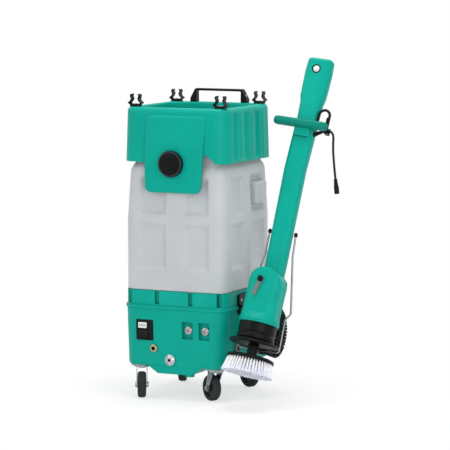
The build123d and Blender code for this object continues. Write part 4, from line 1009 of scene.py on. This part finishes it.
@dataclass
class UpperTank:
    """Lift-off upper tank: ribbed skirt, tray, tongue, cap, clips, handle and screws."""

    shop: Workshop
    centre: Vector
    width: float = 348.0
    depth: float = 358.0
    low: float = 725.0
    top: float = 890.0
    corner: float = 46.0
    draft: float = 4.0
    rim: float = 24.0
    rear_rim: float = 38.0
    rear_reach: float = 120.0
    tray: float = 30.0
    tray_corner: float = 60.0
    tray_edge: float = 6.0
    wall: float = 5.0
    edge: float = 13.0
    ribs_at: tuple[float, ...] = (-99.0, -18.0, 63.0)
    groove_half: float = 19.0
    groove_deep: float = 11.0
    rib_step: float = 40.0
    rib_half: float = 15.0
    rib_proud: float = 3.0
    rib_ends: Pair = (726.0, 876.0)
    rib_fade: Pair = (20.0, 9.0)
    rib_cut: float = 2.5
    rib_parts: tuple[int, int] = (5, 3)
    notch: Triple = (104.0, 152.0, 26.0)
    notch_reach: Pair = (20.0, 60.0)
    notch_parts: int = 14
    tongue_laps: Pair = (8.0, 6.0)
    tongue: Triple = (196.0, 12.0, 235.0)
    tongue_rounds: Pair = (20.0, 9.0)
    tongue_low: float = 634.0
    tongue_front: float = 188.0
    tongue_taper: float = 5.0
    tongue_grow: float = 4.0
    tongue_shift: float = 7.0
    tongue_lean: float = 8.0
    lean_cuts: tuple[float, int] = (100.0, 10)
    floor_inset: Pair = (28.0, 16.0)
    floor_thick: float = 6.0
    floor_low: float = 773.0
    floor_corner: float = 40.0
    clip_at: float = 142.0
    clip_floor: float = 8.0
    foot_at: Pair = (91.0, 22.0)
    foot_way: Triple = (0.877, 0.0, 0.481)
    cap_thick: float = 15.0
    cap_rim: Profile = (
        *((33.8, 10.4), (34.4, 12.2), (35.6, 12.9), (37.4, 12.7)),
        *((38.8, 11.6), (38.8, 10.4), (33.8, 10.4)),
    )
    cap_rib: Triple = (1.4, 1.8, 7.0)
    cap_rib_at: Triple = (39.7, 0.0, 6.0)
    cap_ribs: int = 44
    screw: Profile = (
        *((0.0, 0.8), (1.5, 0.8), (1.7, 2.2), (2.4, 2.2)),
        *((3.4, 1.5), (4.0, 0.4), (4.0, -0.5), (0.0, -0.5)),
    )

    def build(self) -> None:
        """Make the skin and tongue, soften the fittings and add the screws and the cap's grip."""
        look = (TEAL, "upper_tank", "teal_plastic")
        piece = self.shop.piece
        skin = piece("upper_tank_skin", [self.skin()], *look, "upper_tank", crease=SMOOTH_DEG)
        thicken(skin, self.wall)
        piece("upper_tank_tongue", self.plates(), *look, crease=SMOOTH_DEG)
        self.shop.soften("screw_cap", POLYPROPYLENE, 0.8, 2)
        self.shop.soften("tool_clips", NYLON, 0.8, 2)
        self.shop.soften("carry_handle", NYLON, 2.0)
        self.shop.dress(RUBBER, "cap_gasket")
        piece("deck_screws", self.screws(), ZINC, "upper_tank", "zinc_steel")
        seat = middle("screw_cap")
        seat.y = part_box("screw_cap")[0].y + self.cap_thick * MM
        face = facing(seat, FORWARD)
        rib = bar(self.cap_rib, Matrix.Translation(self.cap_rib_at), 0.5)
        black = ("screw_cap", "black_plastic")
        piece("cap_grip_ribs", [ringed(rib, face, self.cap_ribs)], POLYPROPYLENE, *black)
        # The cap's grey rim ring is partly painted highlight: its lighter grey stands for light catching the
        # black cap's rim
        piece("cap_rim_ring", [turned(self.cap_rim, face, 64)], HUB, *black)

    def skin(self) -> Mesh:
        """Mould the skin: rounded box, tray, soft rim, side ribs, swept notch and draft.

        Returns:
            The skin, open below, without thickness.
        """
        build = round_box((self.width, self.depth, self.top - self.low), self.low, self.corner)
        bmesh.ops.delete(build, geom=faces_up(build, -1), context="FACES")
        deck = faces_up(build, 1)
        bmesh.ops.inset_region(build, faces=deck, thickness=self.rim, use_even_offset=True, use_boundary=True)
        for vert in deck[0].verts:
            self.widen(vert)
        sunk = bmesh.ops.extrude_face_region(build, geom=deck)["geom"]
        floor = [v for v in sunk if isinstance(v, bmesh.types.BMVert)]
        bmesh.ops.translate(build, vec=(0.0, 0.0, -self.tray), verts=floor)
        bmesh.ops.delete(build, geom=deck, context="FACES")
        bmesh.ops.recalc_face_normals(build, faces=build.faces)
        round_edges(build, self.edge, self.outermost, 6)
        round_edges(build, self.tray_edge, between(self.top - 0.1, math.inf))
        round_edges(build, self.tray_edge, between(-math.inf, self.top - self.tray + 0.1))
        first, last = self.ribs_at[0] - self.groove_half, self.ribs_at[-1] + self.rib_step + self.rib_half
        cut(build, Y_AXIS, [first + self.rib_cut * k for k in range(int((last - first) / self.rib_cut) + 1)])
        low, high = self.rib_ends
        cut(build, Z_AXIS, graded(low, low + self.rib_fade[0], self.rib_parts[0]))
        cut(build, Z_AXIS, graded(high, high - self.rib_fade[1], self.rib_parts[1]))
        lap = self.tongue_laps[0]
        notch = graded(self.notch[0] - lap, self.notch[1], self.notch_parts)
        cut(build, X_AXIS, [self.tongue[0] / 2 - lap, *notch])
        for vert in build.verts:
            self.mould(vert.co)
        return closed(build, placed(self.centre))

    def widen(self, vert: Any) -> None:
        """Move a point of the tray's outline to the tray's wider corners and rear rim.

        Args:
            vert: The point, moved here.
        """
        scale = self.tray_corner / (self.corner - self.rim)
        for axis, size in ((0, self.width), (1, self.depth)):
            reach = abs(vert.co[axis]) - (size / 2 - self.corner)
            place = size / 2 - self.rim - self.tray_corner + reach * scale
            vert.co[axis] = math.copysign(place, vert.co[axis])
        vert.co.y -= (self.rear_rim - self.rim) * step(vert.co.y, 0.0, self.rear_reach)

    def outermost(self, edge: Any) -> bool:
        """Test an edge of the rim.

        Args:
            edge: The edge.

        Returns:
            Whether it runs round the outside.
        """
        walls = [f for f in edge.link_faces if abs(f.normal.z) < 0.1]
        steep = any(f.calc_center_median().z < self.top - self.tray for f in walls)
        return steep and between(self.top - 0.1, math.inf)(edge)

    def mould(self, at: Vector) -> None:
        """Shape one point of the skin: ribs on the side walls, notch in the front, draft.

        Args:
            at: The point, moved here.
        """
        if abs(at.x) > self.width / 2 - 0.5:
            push = 0.0
            for valley in self.ribs_at:
                push -= self.groove_deep * swell(at.y, valley, self.groove_half)
                push += self.rib_proud * swell(at.y, valley + self.rib_step, self.rib_half)
            at.x += math.copysign(1.0, at.x) * push * window(at.z, self.rib_ends, self.rib_fade)
        start, end, rise = self.notch
        if at.y < self.notch_reach[0] - self.depth / 2 and at.x > self.tongue[0] / 2 - self.tongue_laps[1]:
            share = max(0.0, 1.0 - (at.z - self.low) / self.notch_reach[1])
            at.z += rise * share * (1.0 - step(at.x, start, end))
        lean = self.draft * (at.z - self.low) / (self.top - self.low)
        at.x *= 1.0 - 2 * lean / self.width
        at.y *= 1.0 - 2 * lean / self.depth

    def plates(self) -> list[Mesh]:
        """Make the tongue, which sinks into the front at its top, and the floor of the chamber.

        Returns:
            Their meshes.
        """
        wide, thick, tall = self.tongue
        corner, edge = self.tongue_rounds
        build = round_box((wide, tall, thick), 0.0, corner)
        round_edges(build, edge, between(thick - 0.1, math.inf), 8)
        cut(build, Y_AXIS, graded(0.0, *self.lean_cuts))
        for vert in build.verts:
            share = 0.5 + vert.co.y / tall
            vert.co.x *= 1.0 + 2 * (self.tongue_grow * share - self.tongue_taper * (1.0 - share)) / wide
            vert.co.x += self.tongue_shift * share
            vert.co.z -= self.tongue_lean * step(vert.co.y, 0.0, tall / 2)
        at = self.centre + Vector((0.0, thick - self.tongue_front, self.tongue_low + tall / 2)) * MM
        size = (self.width - self.floor_inset[0], self.depth - self.floor_inset[1], self.floor_thick)
        floor = round_box(size, self.floor_low, self.floor_corner)
        return [closed(build, facing(at, FORWARD)), closed(floor, placed(self.centre))]

    def screws(self) -> list[Mesh]:
        """Make the screws in the floor of each clip and on the feet of the handle.

        Returns:
            Their meshes.
        """
        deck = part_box("tool_clips")[0].z
        ends = (-self.clip_at, self.clip_at)
        clips = [self.centre + Vector((x, y, 0.0)) * MM for x in ends for y in ends]
        places = [(at, self.clip_floor, Z_AXIS) for at in clips]
        for side in (-1, 1):
            foot = middle("carry_handle") + Vector((side * self.foot_at[0] * MM, 0.0, 0.0))
            places.append((foot, self.foot_at[1], (side * self.foot_way[0], *self.foot_way[1:])))
        made = []
        for at, rise, way in places:
            at.z = deck + rise * MM
            made.append(turned(self.screw, facing(at, way, Y_AXIS), 24))
        return made


def on_front(node: str, profile: Profile) -> Mesh:
    """Turn a profile on the front of a round fitting.

    Args:
        node: The fitting's node.
        profile: Radius and height points, with height zero at the fitting's front.

    Returns:
        The mesh.
    """
    at = middle(node)
    at.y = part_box(node)[0].y
    return turned(profile, facing(at, FORWARD), 40)


@dataclass
class Base:
    """Base housing with its panel, fittings, rack plate and charging socket."""

    shop: Workshop
    centre: Vector
    lit_ring: Profile = ((4.4, -0.8), (4.6, 0.1), (6.4, 0.1), (6.6, -0.8), (4.4, -0.8))
    button_eye: Profile = ((0.0, 0.15), (4.2, 0.15), (4.4, -0.8), (0.0, -0.8))
    seal: Profile = ((2.4, -3.0), (2.6, -1.2), (4.9, -1.2), (4.9, -3.0), (2.4, -3.0))
    strip: Triple = (13.6, 0.8, 40.2)
    strip_z: float = 313.5
    strips: Profile = ((-150.0, -164.0), (-56.0, -171.2), (56.0, -171.2), (150.0, -164.0))
    side_strips: Profile = ((-166.2, -56.0), (-166.2, 56.0))
    gauge: Triple = (3.6, 0.5, 8.0)
    gauge_bars: int = 4
    gauge_pitch: float = 5.6
    plate_caps: Profile = ((-71.5, 306.0), (-24.0, 306.0))
    cap: Profile = ((0.0, 1.7), (1.8, 1.5), (3.2, 0.8), (3.7, -0.3), (0.0, -0.3))
    pin: Profile = ((0.0, 11.0), (0.9, 11.0), (1.3, 10.4), (1.3, -1.0), (0.0, -1.0))
    pin_depth: float = 15.6

    def build(self) -> None:
        """Soften the mouldings and fittings and add their small parts."""
        soften, dress, piece = self.shop.soften, self.shop.dress, self.shop.piece
        soften("base_housing", TEAL, 0.3)
        soften("rack_plate", NYLON, 0.3)
        soften("charge_socket", GREY, 1.2)
        soften("switch_panel", ABS, 0.5, 2)
        soften("power_rocker", ABS, 0.5, 2)
        soften("brass_coupling", BRASS, 0.3, 2)
        for name in ("chrome_outlet", "button_bezels", "push_button_left", "push_button_right"):
            soften(name, CHROME, 0.5, 2)
        dress(WINDOW, "meter_window")
        dress(ABS, "battery_pack", "pump_unit")
        dress(GREY, "control_box")
        dress(RUBBER, "hoses")
        for side in ("left", "right"):
            node, body = "push_button_" + side, "button_" + side
            piece("button_ring_" + side, [on_front(node, self.lit_ring)], SILICONE, body, "rubber")
            piece("button_eye_" + side, [on_front(node, self.button_eye)], GREY, body, "grey_plastic")
        piece("outlet_seal", [on_front("chrome_outlet", self.seal)], NITRILE, "cart", "rubber")
        # The dark teal strips in the collar's grooves are painted shade: the grooves are the same teal,
        # darker only where shade falls
        piece("groove_shade_strips", self.groove_shade_strips(), DARK_TEAL, "cart", "teal_plastic")
        piece("gauge_bars", self.bars(), INK, "cart", "grey_plastic")
        piece("plate_screw_caps", self.caps(), CAP_WHITE, "cart", "white_plastic")
        at = middle("charge_socket")
        at.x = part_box("charge_socket")[1].x - self.pin_depth * MM
        piece("socket_pin", [turned(self.pin, facing(at, X_AXIS), 20)], BRASS, "cart", "brass")

    def groove_shade_strips(self) -> list[Mesh]:
        """Make the dark strips on the floors of the collar's grooves: painted shade in the grooves.

        Returns:
            Their meshes.
        """
        wide, thick, tall = self.strip
        made = []
        for places, size in ((self.strips, self.strip), (self.side_strips, (thick, wide, tall))):
            for x, y in places:
                made.append(bar(size, placed(self.centre + Vector((x, y, self.strip_z)) * MM), 0.3))
        return made

    def bars(self) -> list[Mesh]:
        """Make the plain bars of the charge gauge on the window.

        Returns:
            Their meshes.
        """
        made = []
        for index in range(self.gauge_bars):
            at = middle("meter_window")
            at.x += (index - (self.gauge_bars - 1) / 2) * self.gauge_pitch * MM
            at.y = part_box("meter_window")[0].y
            made.append(bar(self.gauge, placed(at), 0.2, 1))
        return made

    def caps(self) -> list[Mesh]:
        """Make the white caps over the screws of the rack plate.

        Returns:
            Their meshes.
        """
        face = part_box("rack_plate")[1].x
        places = [Vector((face, self.centre.y + y * MM, z * MM)) for y, z in self.plate_caps]
        return [turned(self.cap, facing(at, X_AXIS), 24) for at in places]


@dataclass
class RunningGear:
    """Four swivel casters."""

    shop: Workshop

    def build(self) -> None:
        """Soften plates, forks, hubs and tyres."""
        self.shop.soften("caster_plates", ZINC, 0.9, 2)
        for corner in CORNERS:
            self.shop.soften("caster_fork_" + corner, ZINC, 0.0)
            self.shop.soften("caster_wheel_" + corner, HUB, 1.0, 2)
            self.shop.soften("caster_tyre_" + corner, TYRE, 2.0, 4)


@dataclass
class Rack:
    """Wire rack with its rubber caps, and the peg of the spare brush."""

    shop: Workshop

    def build(self) -> None:
        """Smooth the wire and soften its caps and the peg."""
        self.shop.soften("wire_rack", WIRE, 0.0)
        self.shop.soften("rack_caps", RUBBER, 0.7)
        self.shop.soften("spare_peg", NYLON, 0.6, 2)
        self.shop.soften("spare_brush_plate", NYLON, 0.8, 2)


@dataclass
class Scrubber:
    """Hand scrubber; its frame has Z up its axis from the bristle tips, X across and Y back."""

    shop: Workshop
    centre: Vector
    place_mm: Triple = (263.0, -216.0, 105.0)
    lean_back: float = 20.6
    lean_out: float = 5.4
    yaw: float = 3.4
    lever_at: Triple = (-8.0, -53.4, 284.0)
    lever_lean: float = 14.0
    ridge: Triple = (9.6, 2.2, 2.4)
    ridges: tuple[float, ...] = (16.0, 20.5, 25.0, 29.5, 34.0, 38.5, 43.0)
    knob_front: float = -62.8
    knob_slot: Triple = (9.0, 1.6, 1.8)
    bead: Profile = ((60.0, 160.4), (62.0, 161.0), (62.6, 162.4), (62.0, 163.8), (60.0, 164.4), (60.0, 160.4))
    saddle_top: float = 766.0
    eye_at: Triple = (-4.0, -10.0, 960.0)
    button_ring: Profile = (
        *((11.2, 1.0), (11.5, -0.7), (12.6, -0.9), (14.0, -0.3), (14.0, 0.4), (12.9, 0.4)),
        *((12.9, 43.6), (14.6, 43.6), (14.0, 45.0), (0.0, 45.0), (0.0, 8.0), (11.2, 8.0), (11.2, 1.0)),
    )
    button_dome: Profile = (
        *((0.0, -3.2), (4.2, -2.8), (7.8, -1.4), (10.2, 0.8)),
        *((11.0, 2.6), (11.0, 9.0), (0.0, 9.0)),
    )
    arch_ends: Pair = (37.0, 71.0)
    arch_at: Pair = (-4.05, 819.0)
    arch_rod: float = 4.2
    arch_legs: Pair = (20.0, 46.0)
    gland_at: Triple = (32.6, 2.95, 758.0)
    gland_way: Triple = (0.9, 0.0, 0.43)
    gland_length: float = 26.0
    gland_collar: Profile = ((0.0, -4.0), (8.0, -4.0), (8.0, 4.0), (7.2, 5.0))
    gland_rib: Profile = ((-1.1, 0.0), (0.0, 0.5), (0.0, -1.3), (-1.1, -0.8))
    gland_from: float = 6.0
    gland_ribs: int = 6
    gland_wide: float = 6.8
    gland_taper: float = 0.32
    gland_tip: float = 4.3
    edges: tuple[tuple[str, float], ...] = (
        *(("guard_disc", 1.5), ("brush_plate", 1.5), ("drive_hub", 1.5)),
        *(("lock_knob", 1.0), ("trigger", 0.5), ("cord_hook", 1.0)),
    )

    def frame(self) -> Matrix:
        """Work out where the scrubber leans.

        Returns:
            The transform from its frame, in metres, to the row frame.
        """
        turn = Matrix.Rotation(math.radians(self.lean_out), 4, "Y")
        turn = turn @ Matrix.Rotation(math.radians(-self.lean_back), 4, "X")
        turn = turn @ Matrix.Rotation(math.radians(self.yaw), 4, "Z")
        return Matrix.Translation(self.centre + Vector(self.place_mm) * MM) @ turn

    def scaled(self, *at: float) -> Matrix:
        """Transform from the scrubber's millimetres, at a point if one is given, to the row frame."""
        return self.frame() @ Matrix.Scale(MM, 4) @ Matrix.Translation(at or ORIGIN)

    def facing(self, at: Triple, way: Triple) -> Matrix:
        """Millimetre frame at a point of the scrubber whose Z axis looks along a direction of it."""
        frame = self.frame()
        return facing(frame @ (Vector(at) * MM), frame.to_3x3() @ Vector(way))

    def build(self) -> None:
        """Soften the mouldings and add lever ridges, knob slot, bead, head button, hook arch and gland."""
        soften, piece = self.shop.soften, self.shop.piece
        soften("scrubber_motor_housing", TEAL, 1.5)
        soften("scrubber_stem", TEAL, 0.0)
        soften("scrubber_head", TEAL, 0.0)
        grip = soften("scrubber_cross_handle", DARK_TEAL, 0.0).data
        grip.materials.append(self.shop.material(TEAL))
        up = self.frame().inverted()
        for face in grip.polygons:
            face.material_index = int((up @ face.center).z < self.saddle_top * MM)
        for name, edge in self.edges:
            soften("scrubber_" + name, NYLON, edge, 2)
        soften("scrubber_gearbox", POLYPROPYLENE, 1.5, 2)
        soften("scrubber_lock_lever", GREY, 0.7, 2)
        self.shop.dress(ZINC, "scrubber_motor", "scrubber_pivot_pin")
        piece("lever_ridges", self.lever_ridges(), GREY, "lock_lever", "grey_plastic")
        slot = self.scaled(self.lever_at[0], self.knob_front, self.lever_at[2])
        piece("knob_slot", [bar(self.knob_slot, slot, 0.3, 1)], RUBBER, "scrubber", "rubber")
        piece("housing_bead", [turned(self.bead, self.scaled(), 72)], TEAL, "scrubber", "teal_plastic")
        into = self.facing(self.eye_at, Y_AXIS)
        # The black ring round the pale head button is partly painted shadow: it stands for the shade under
        # the dome
        piece("head_button_ring", [turned(self.button_ring, into, 40)], NYLON, "stem", "black_plastic")
        piece("head_button", [turned(self.button_dome, into, 40)], CAP_WHITE, "stem", "white_plastic")
        piece("hook_arch", [self.hook_arch()], NYLON, "stem", "black_plastic")
        piece("cord_gland_ribbed", [self.gland()], RUBBER, "stem", "rubber", "scrubber_cord_gland")

    def lever_ridges(self) -> list[Mesh]:
        """Make the thumb ridges across the blade of the tilt-lock lever.

        Returns:
            Their meshes.
        """
        lean = math.radians(self.lever_lean)
        turn = Matrix.Rotation(lean, 4, "Y")
        made = []
        for reach in self.ridges:
            at = Vector(self.lever_at) + Vector((-math.sin(lean), 0.0, -math.cos(lean))) * reach
            made.append(bar(self.ridge, self.scaled(*at) @ turn, 0.8))
        return made

    def hook_arch(self) -> Mesh:
        """Bend the rod that holds the cord hook: up its strap and over to the side of the stem.

        Returns:
            The mesh.
        """
        left, right = self.arch_ends
        build = bmesh.new()
        rim = bmesh.ops.create_circle(build, segments=16, radius=self.arch_rod)["verts"]
        bmesh.ops.translate(build, vec=((right - left) / 2, 0.0, 0.0), verts=rim)
        loop = rim + build.edges[:]
        bmesh.ops.spin(build, geom=loop, cent=ORIGIN, axis=FORWARD, angle=math.pi, steps=18)
        for side, drop in zip((-1, 1), self.arch_legs):
            edges = [e for e in build.edges if e.is_boundary and e.verts[0].co.x * side > 0]
            grown = bmesh.ops.extrude_edge_only(build, edges=edges)["geom"]
            ends = [g for g in grown if isinstance(g, bmesh.types.BMVert)]
            bmesh.ops.translate(build, vec=(0.0, 0.0, -drop), verts=ends)
        bmesh.ops.holes_fill(build, edges=[e for e in build.edges if e.is_boundary], sides=0)
        bmesh.ops.recalc_face_normals(build, faces=build.faces)
        return closed(build, self.scaled((left + right) / 2, *self.arch_at))

    def gland(self) -> Mesh:
        """Turn the strain relief, with a collar and ribs that get smaller towards the lead.

        Returns:
            The mesh.
        """
        points = list(self.gland_collar)
        pitch = (self.gland_length - self.gland_from) / self.gland_ribs
        for index in range(self.gland_ribs):
            wide = self.gland_wide - self.gland_taper * index
            low = self.gland_from + index * pitch
            ends = (low, low, low + pitch, low + pitch)
            points += [(wide + out, end + rise) for (out, rise), end in zip(self.gland_rib, ends)]
        points += [(self.gland_tip, self.gland_length), (0.0, self.gland_length)]
        return turned(points, self.facing(self.gland_at, self.gland_way), 32)


@dataclass
class Brush:
    """Round brush: tufts of filaments set in rings, narrow at the backing and spread at the tips."""

    name: str
    node: str
    body: str
    slot: str
    finish: Filament
    frame: Matrix
    length: float = 42.0
    slab: float = 3.0
    radius: float = 72.0
    core: float = 61.0
    core_depth: float = 11.0
    flare: float = 1.135
    root: float = 1.7
    root_sink: float = 0.5
    spread: float = 3.6
    stretch: float = 1.25
    tip_level: Pair = (0.2, 1.4)
    taper: float = 0.9
    sway: Pair = (0.19, 0.9)
    rings: tuple[tuple[float, int], ...] = (
        *((18.0, 12), (28.0, 20), (38.0, 27)),
        *((48.0, 33), (58.0, 40), (67.0, 48)),
    )
    filaments: int = 26
    filament: float = 0.5
    seed: int = 31

    def build(self, shop: Workshop) -> None:
        """Make the tufts with their slice of backing and its dark core.

        Args:
            shop: Holds the finishes.
        """
        build = bmesh.new()
        along = build.verts.layers.float.new("along")
        opened(self.backing(), build)
        for face in build.faces:
            face.material_index, face.smooth = 1, True
        for number, (ring, count) in enumerate(self.rings):
            opened(self.ring(ring, count, random.Random(self.seed + number)), build)
        scale, reach = self.sway
        noise.seed_set(self.seed)
        for vert in build.verts:
            sway = noise.noise_vector(vert.co * scale) * (reach * vert[along])
            vert.co += Vector((sway.x, sway.y, 0.0))
        mesh = closed(build, self.frame @ Matrix.Scale(MM, 4))
        mesh.name = self.name
        mesh.set_sharp_from_angle(angle=math.radians(40.0))
        for finish in (self.finish, NYLON):
            mesh.materials.append(shop.material(finish))
        shop.enter(self.name, mesh, self.body, self.slot, self.node)
        LOG.info("%s: %d faces", self.name, len(mesh.polygons))

    def backing(self) -> Mesh:
        """Turn the slice of the backing with the core that holds the roots.

        Returns:
            The mesh in millimetres.
        """
        top = self.length + self.slab
        low = self.length - self.core_depth
        disc = [(0, top), (self.radius - 0.5, top), (self.radius, top - 0.5), (self.radius, self.length)]
        core = [(self.core, self.length), (self.core - 3, low), (0, low)]
        return turned(disc + core, Matrix.Identity(4), 72)

    def ring(self, ring: float, count: int, dice: random.Random) -> Mesh:
        """Make one ring of tufts, a few different ones repeated round the axis.

        Args:
            ring: Radius of the ring.
            count: Tufts in the ring.
            dice: Seeded scatter.

        Returns:
            The ring's mesh in millimetres.
        """
        kinds = 4 if count % 4 == 0 else 3
        build = bmesh.new()
        along = build.verts.layers.float.new("along")
        for index in range(kinds):
            turn = Matrix.Rotation(2 * math.pi * index / count, 4, "Z")
            for _ in range(self.filaments):
                self.strand(build, along, dice, ring, turn)
        return ringed(closed(build, Matrix.Identity(4)), Matrix.Identity(4), count // kinds)

    def strand(self, build: Any, along: Any, dice: random.Random, ring: float, turn: Matrix) -> None:
        """Set one filament of a tuft.

        Args:
            build: The ring's bmesh.
            along: Vertex layer that runs from zero at the root to one at the tip.
            dice: Seeded scatter.
            ring: Radius of the tuft's ring.
            turn: Rotation to the tuft's place.
        """
        share = math.sqrt(dice.random())
        swing = dice.random() * 2 * math.pi
        out, side = share * math.cos(swing), share * math.sin(swing)
        root = Vector((ring + self.root * out, self.root * side, self.length + self.root_sink))
        level = dice.uniform(*self.tip_level)
        tip = Vector((ring * self.flare + self.spread * out, self.stretch * self.spread * side, level))
        run = tip - root
        ends = {"radius1": self.filament, "radius2": self.filament * self.taper}
        made = bmesh.ops.create_cone(build, cap_ends=True, segments=3, depth=run.length, **ends)["verts"]
        for vert in made:
            vert[along] = 1.0 if vert.co.z > 0 else 0.0
        place = Matrix.Translation((root + tip) / 2) @ run.to_track_quat("Z", "Y").to_matrix().to_4x4()
        bmesh.ops.transform(build, matrix=turn @ place, verts=made)


@dataclass
class Lead:
    """Short lead of the scrubber: out of the gland, over the hook, hanging, with an in-line connector."""

    scrubber: Scrubber
    rise: float = 20.0
    hang: tuple[Triple, ...] = (
        (17.0, 3.0, -11.0),
        (-4.0, 3.0, -38.0),
        (4.0, -2.0, -50.0),
        (6.0, -1.0, -48.0),
    )
    diameter: float = 7.0
    length: float = 0.174
    rib: Profile = ((6.9, -0.9), (7.9, -0.5), (7.9, 0.5), (6.9, 0.9), (6.9, -0.9))
    ribs: tuple[float, ...] = (25.5, 28.5, 31.5, 34.5, 37.5, 40.5)
    pin: Profile = ((0.0, 9.0), (0.7, 9.0), (1.0, 8.4), (1.0, -1.0), (0.0, -1.0))
    pin_at: Triple = (2.6, 0.0, 34.0)
    pins: int = 3

    def route(self) -> list[Vector]:
        """Lead the cord from the gland over the hook.

        Returns:
            Its control points in the row frame, in metres.
        """
        frame = self.scrubber.frame()
        way = Vector(self.scrubber.gland_way).normalized()
        start = Vector(self.scrubber.gland_at) + way * self.scrubber.gland_length
        points = [frame @ (start * MM), frame @ ((start + way * self.rise) * MM)]
        for run in self.hang:
            points.append(points[-1] + Vector(run) * MM)
        return points

    def build(self, shop: Workshop) -> None:
        """Make the lead as a smooth curve with its connector.

        Args:
            shop: Holds the finishes.
        """
        points = self.route()
        curve = bpy.data.curves.new("tool_lead_sheath", "CURVE")
        curve.dimensions = "3D"
        curve.bevel_depth = self.diameter / 2 * MM
        curve.bevel_resolution = 5
        curve.use_fill_caps = True
        spline = curve.splines.new("NURBS")
        spline.points.add(len(points) - 1)
        for knot, at in zip(spline.points, points):
            knot.co = (*at, 1.0)
        spline.order_u = 3
        spline.use_endpoint_u = True
        spline.resolution_u = 16
        curve.materials.append(shop.material(PVC))
        lead = shop.enter("tool_lead_sheath", curve, "stem", "rubber", "tool_lead")
        self.connector(shop, facing(points[-1], points[-1] - points[-2], Y_AXIS))
        LOG.info("lead through %d points", len(points))

    def connector(self, shop: Workshop, place: Matrix) -> list[bpy.types.Object]:
        """Soften the connector and add its grip rings and pins.

        Args:
            shop: Holds the finishes.
            place: Millimetre frame at the end of the lead.

        Returns:
            The pieces.
        """
        rings = [turned(self.rib, place @ Matrix.Translation((0.0, 0.0, h)), 28) for h in self.ribs]
        pin = turned(self.pin, Matrix.Translation(self.pin_at), 12)
        return [
            shop.soften("lead_connector", NYLON, 0.6, 2),
            shop.piece("connector_grip", rings, RUBBER, "stem", "rubber"),
            shop.piece("connector_pins", [ringed(pin, place, self.pins)], BRASS, "stem", "brass"),
        ]


def main() -> None:
    """Build the cart's looks in order."""
    logging.basicConfig(level=logging.INFO, format="%(name)s %(message)s")
    for thing in list(bpy.data.objects):
        bpy.data.objects.remove(thing)
    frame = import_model()
    record = frame["record"]
    slots = {part["node"]: part["material_slot"] for part in record["subparts"]}
    bodies = {node: body for body, nodes in record["behaviour"]["bodies"].items() for node in nodes}
    shop = Workshop(frame["nodes"], slots, bodies)
    centre = middle("caster_plates")
    centre.z = 0.0
    Studio(centre).build()
    scrubber = Scrubber(shop, centre)
    Lead(scrubber).build(shop)
    for kind in (SolutionTank, UpperTank, Base):
        kind(shop, centre).build()
    for kind in (RunningGear, Rack):
        kind(shop).build()
    scrubber.build()
    docked = scrubber.frame()
    white = Brush("white_brush", "scrubber_bristles", "brush", "white_bristle", WHITE_FILAMENT, docked)
    white.build(shop)
    hung = Matrix(((0, 0, -1, 0), (1, 0, 0, 0), (0, -1, 0, 0), (0, 0, 0, 1)))
    tips = middle("spare_bristles")
    tips.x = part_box("spare_bristles")[1].x
    hung = Matrix.Translation(tips) @ hung
    spare = Brush(
        "spare_brush", "spare_bristles", "spare_brush", "black_bristle", BLACK_FILAMENT, hung, filament=0.85
    )
    spare.build(shop)


if __name__ == "__main__":
    main()
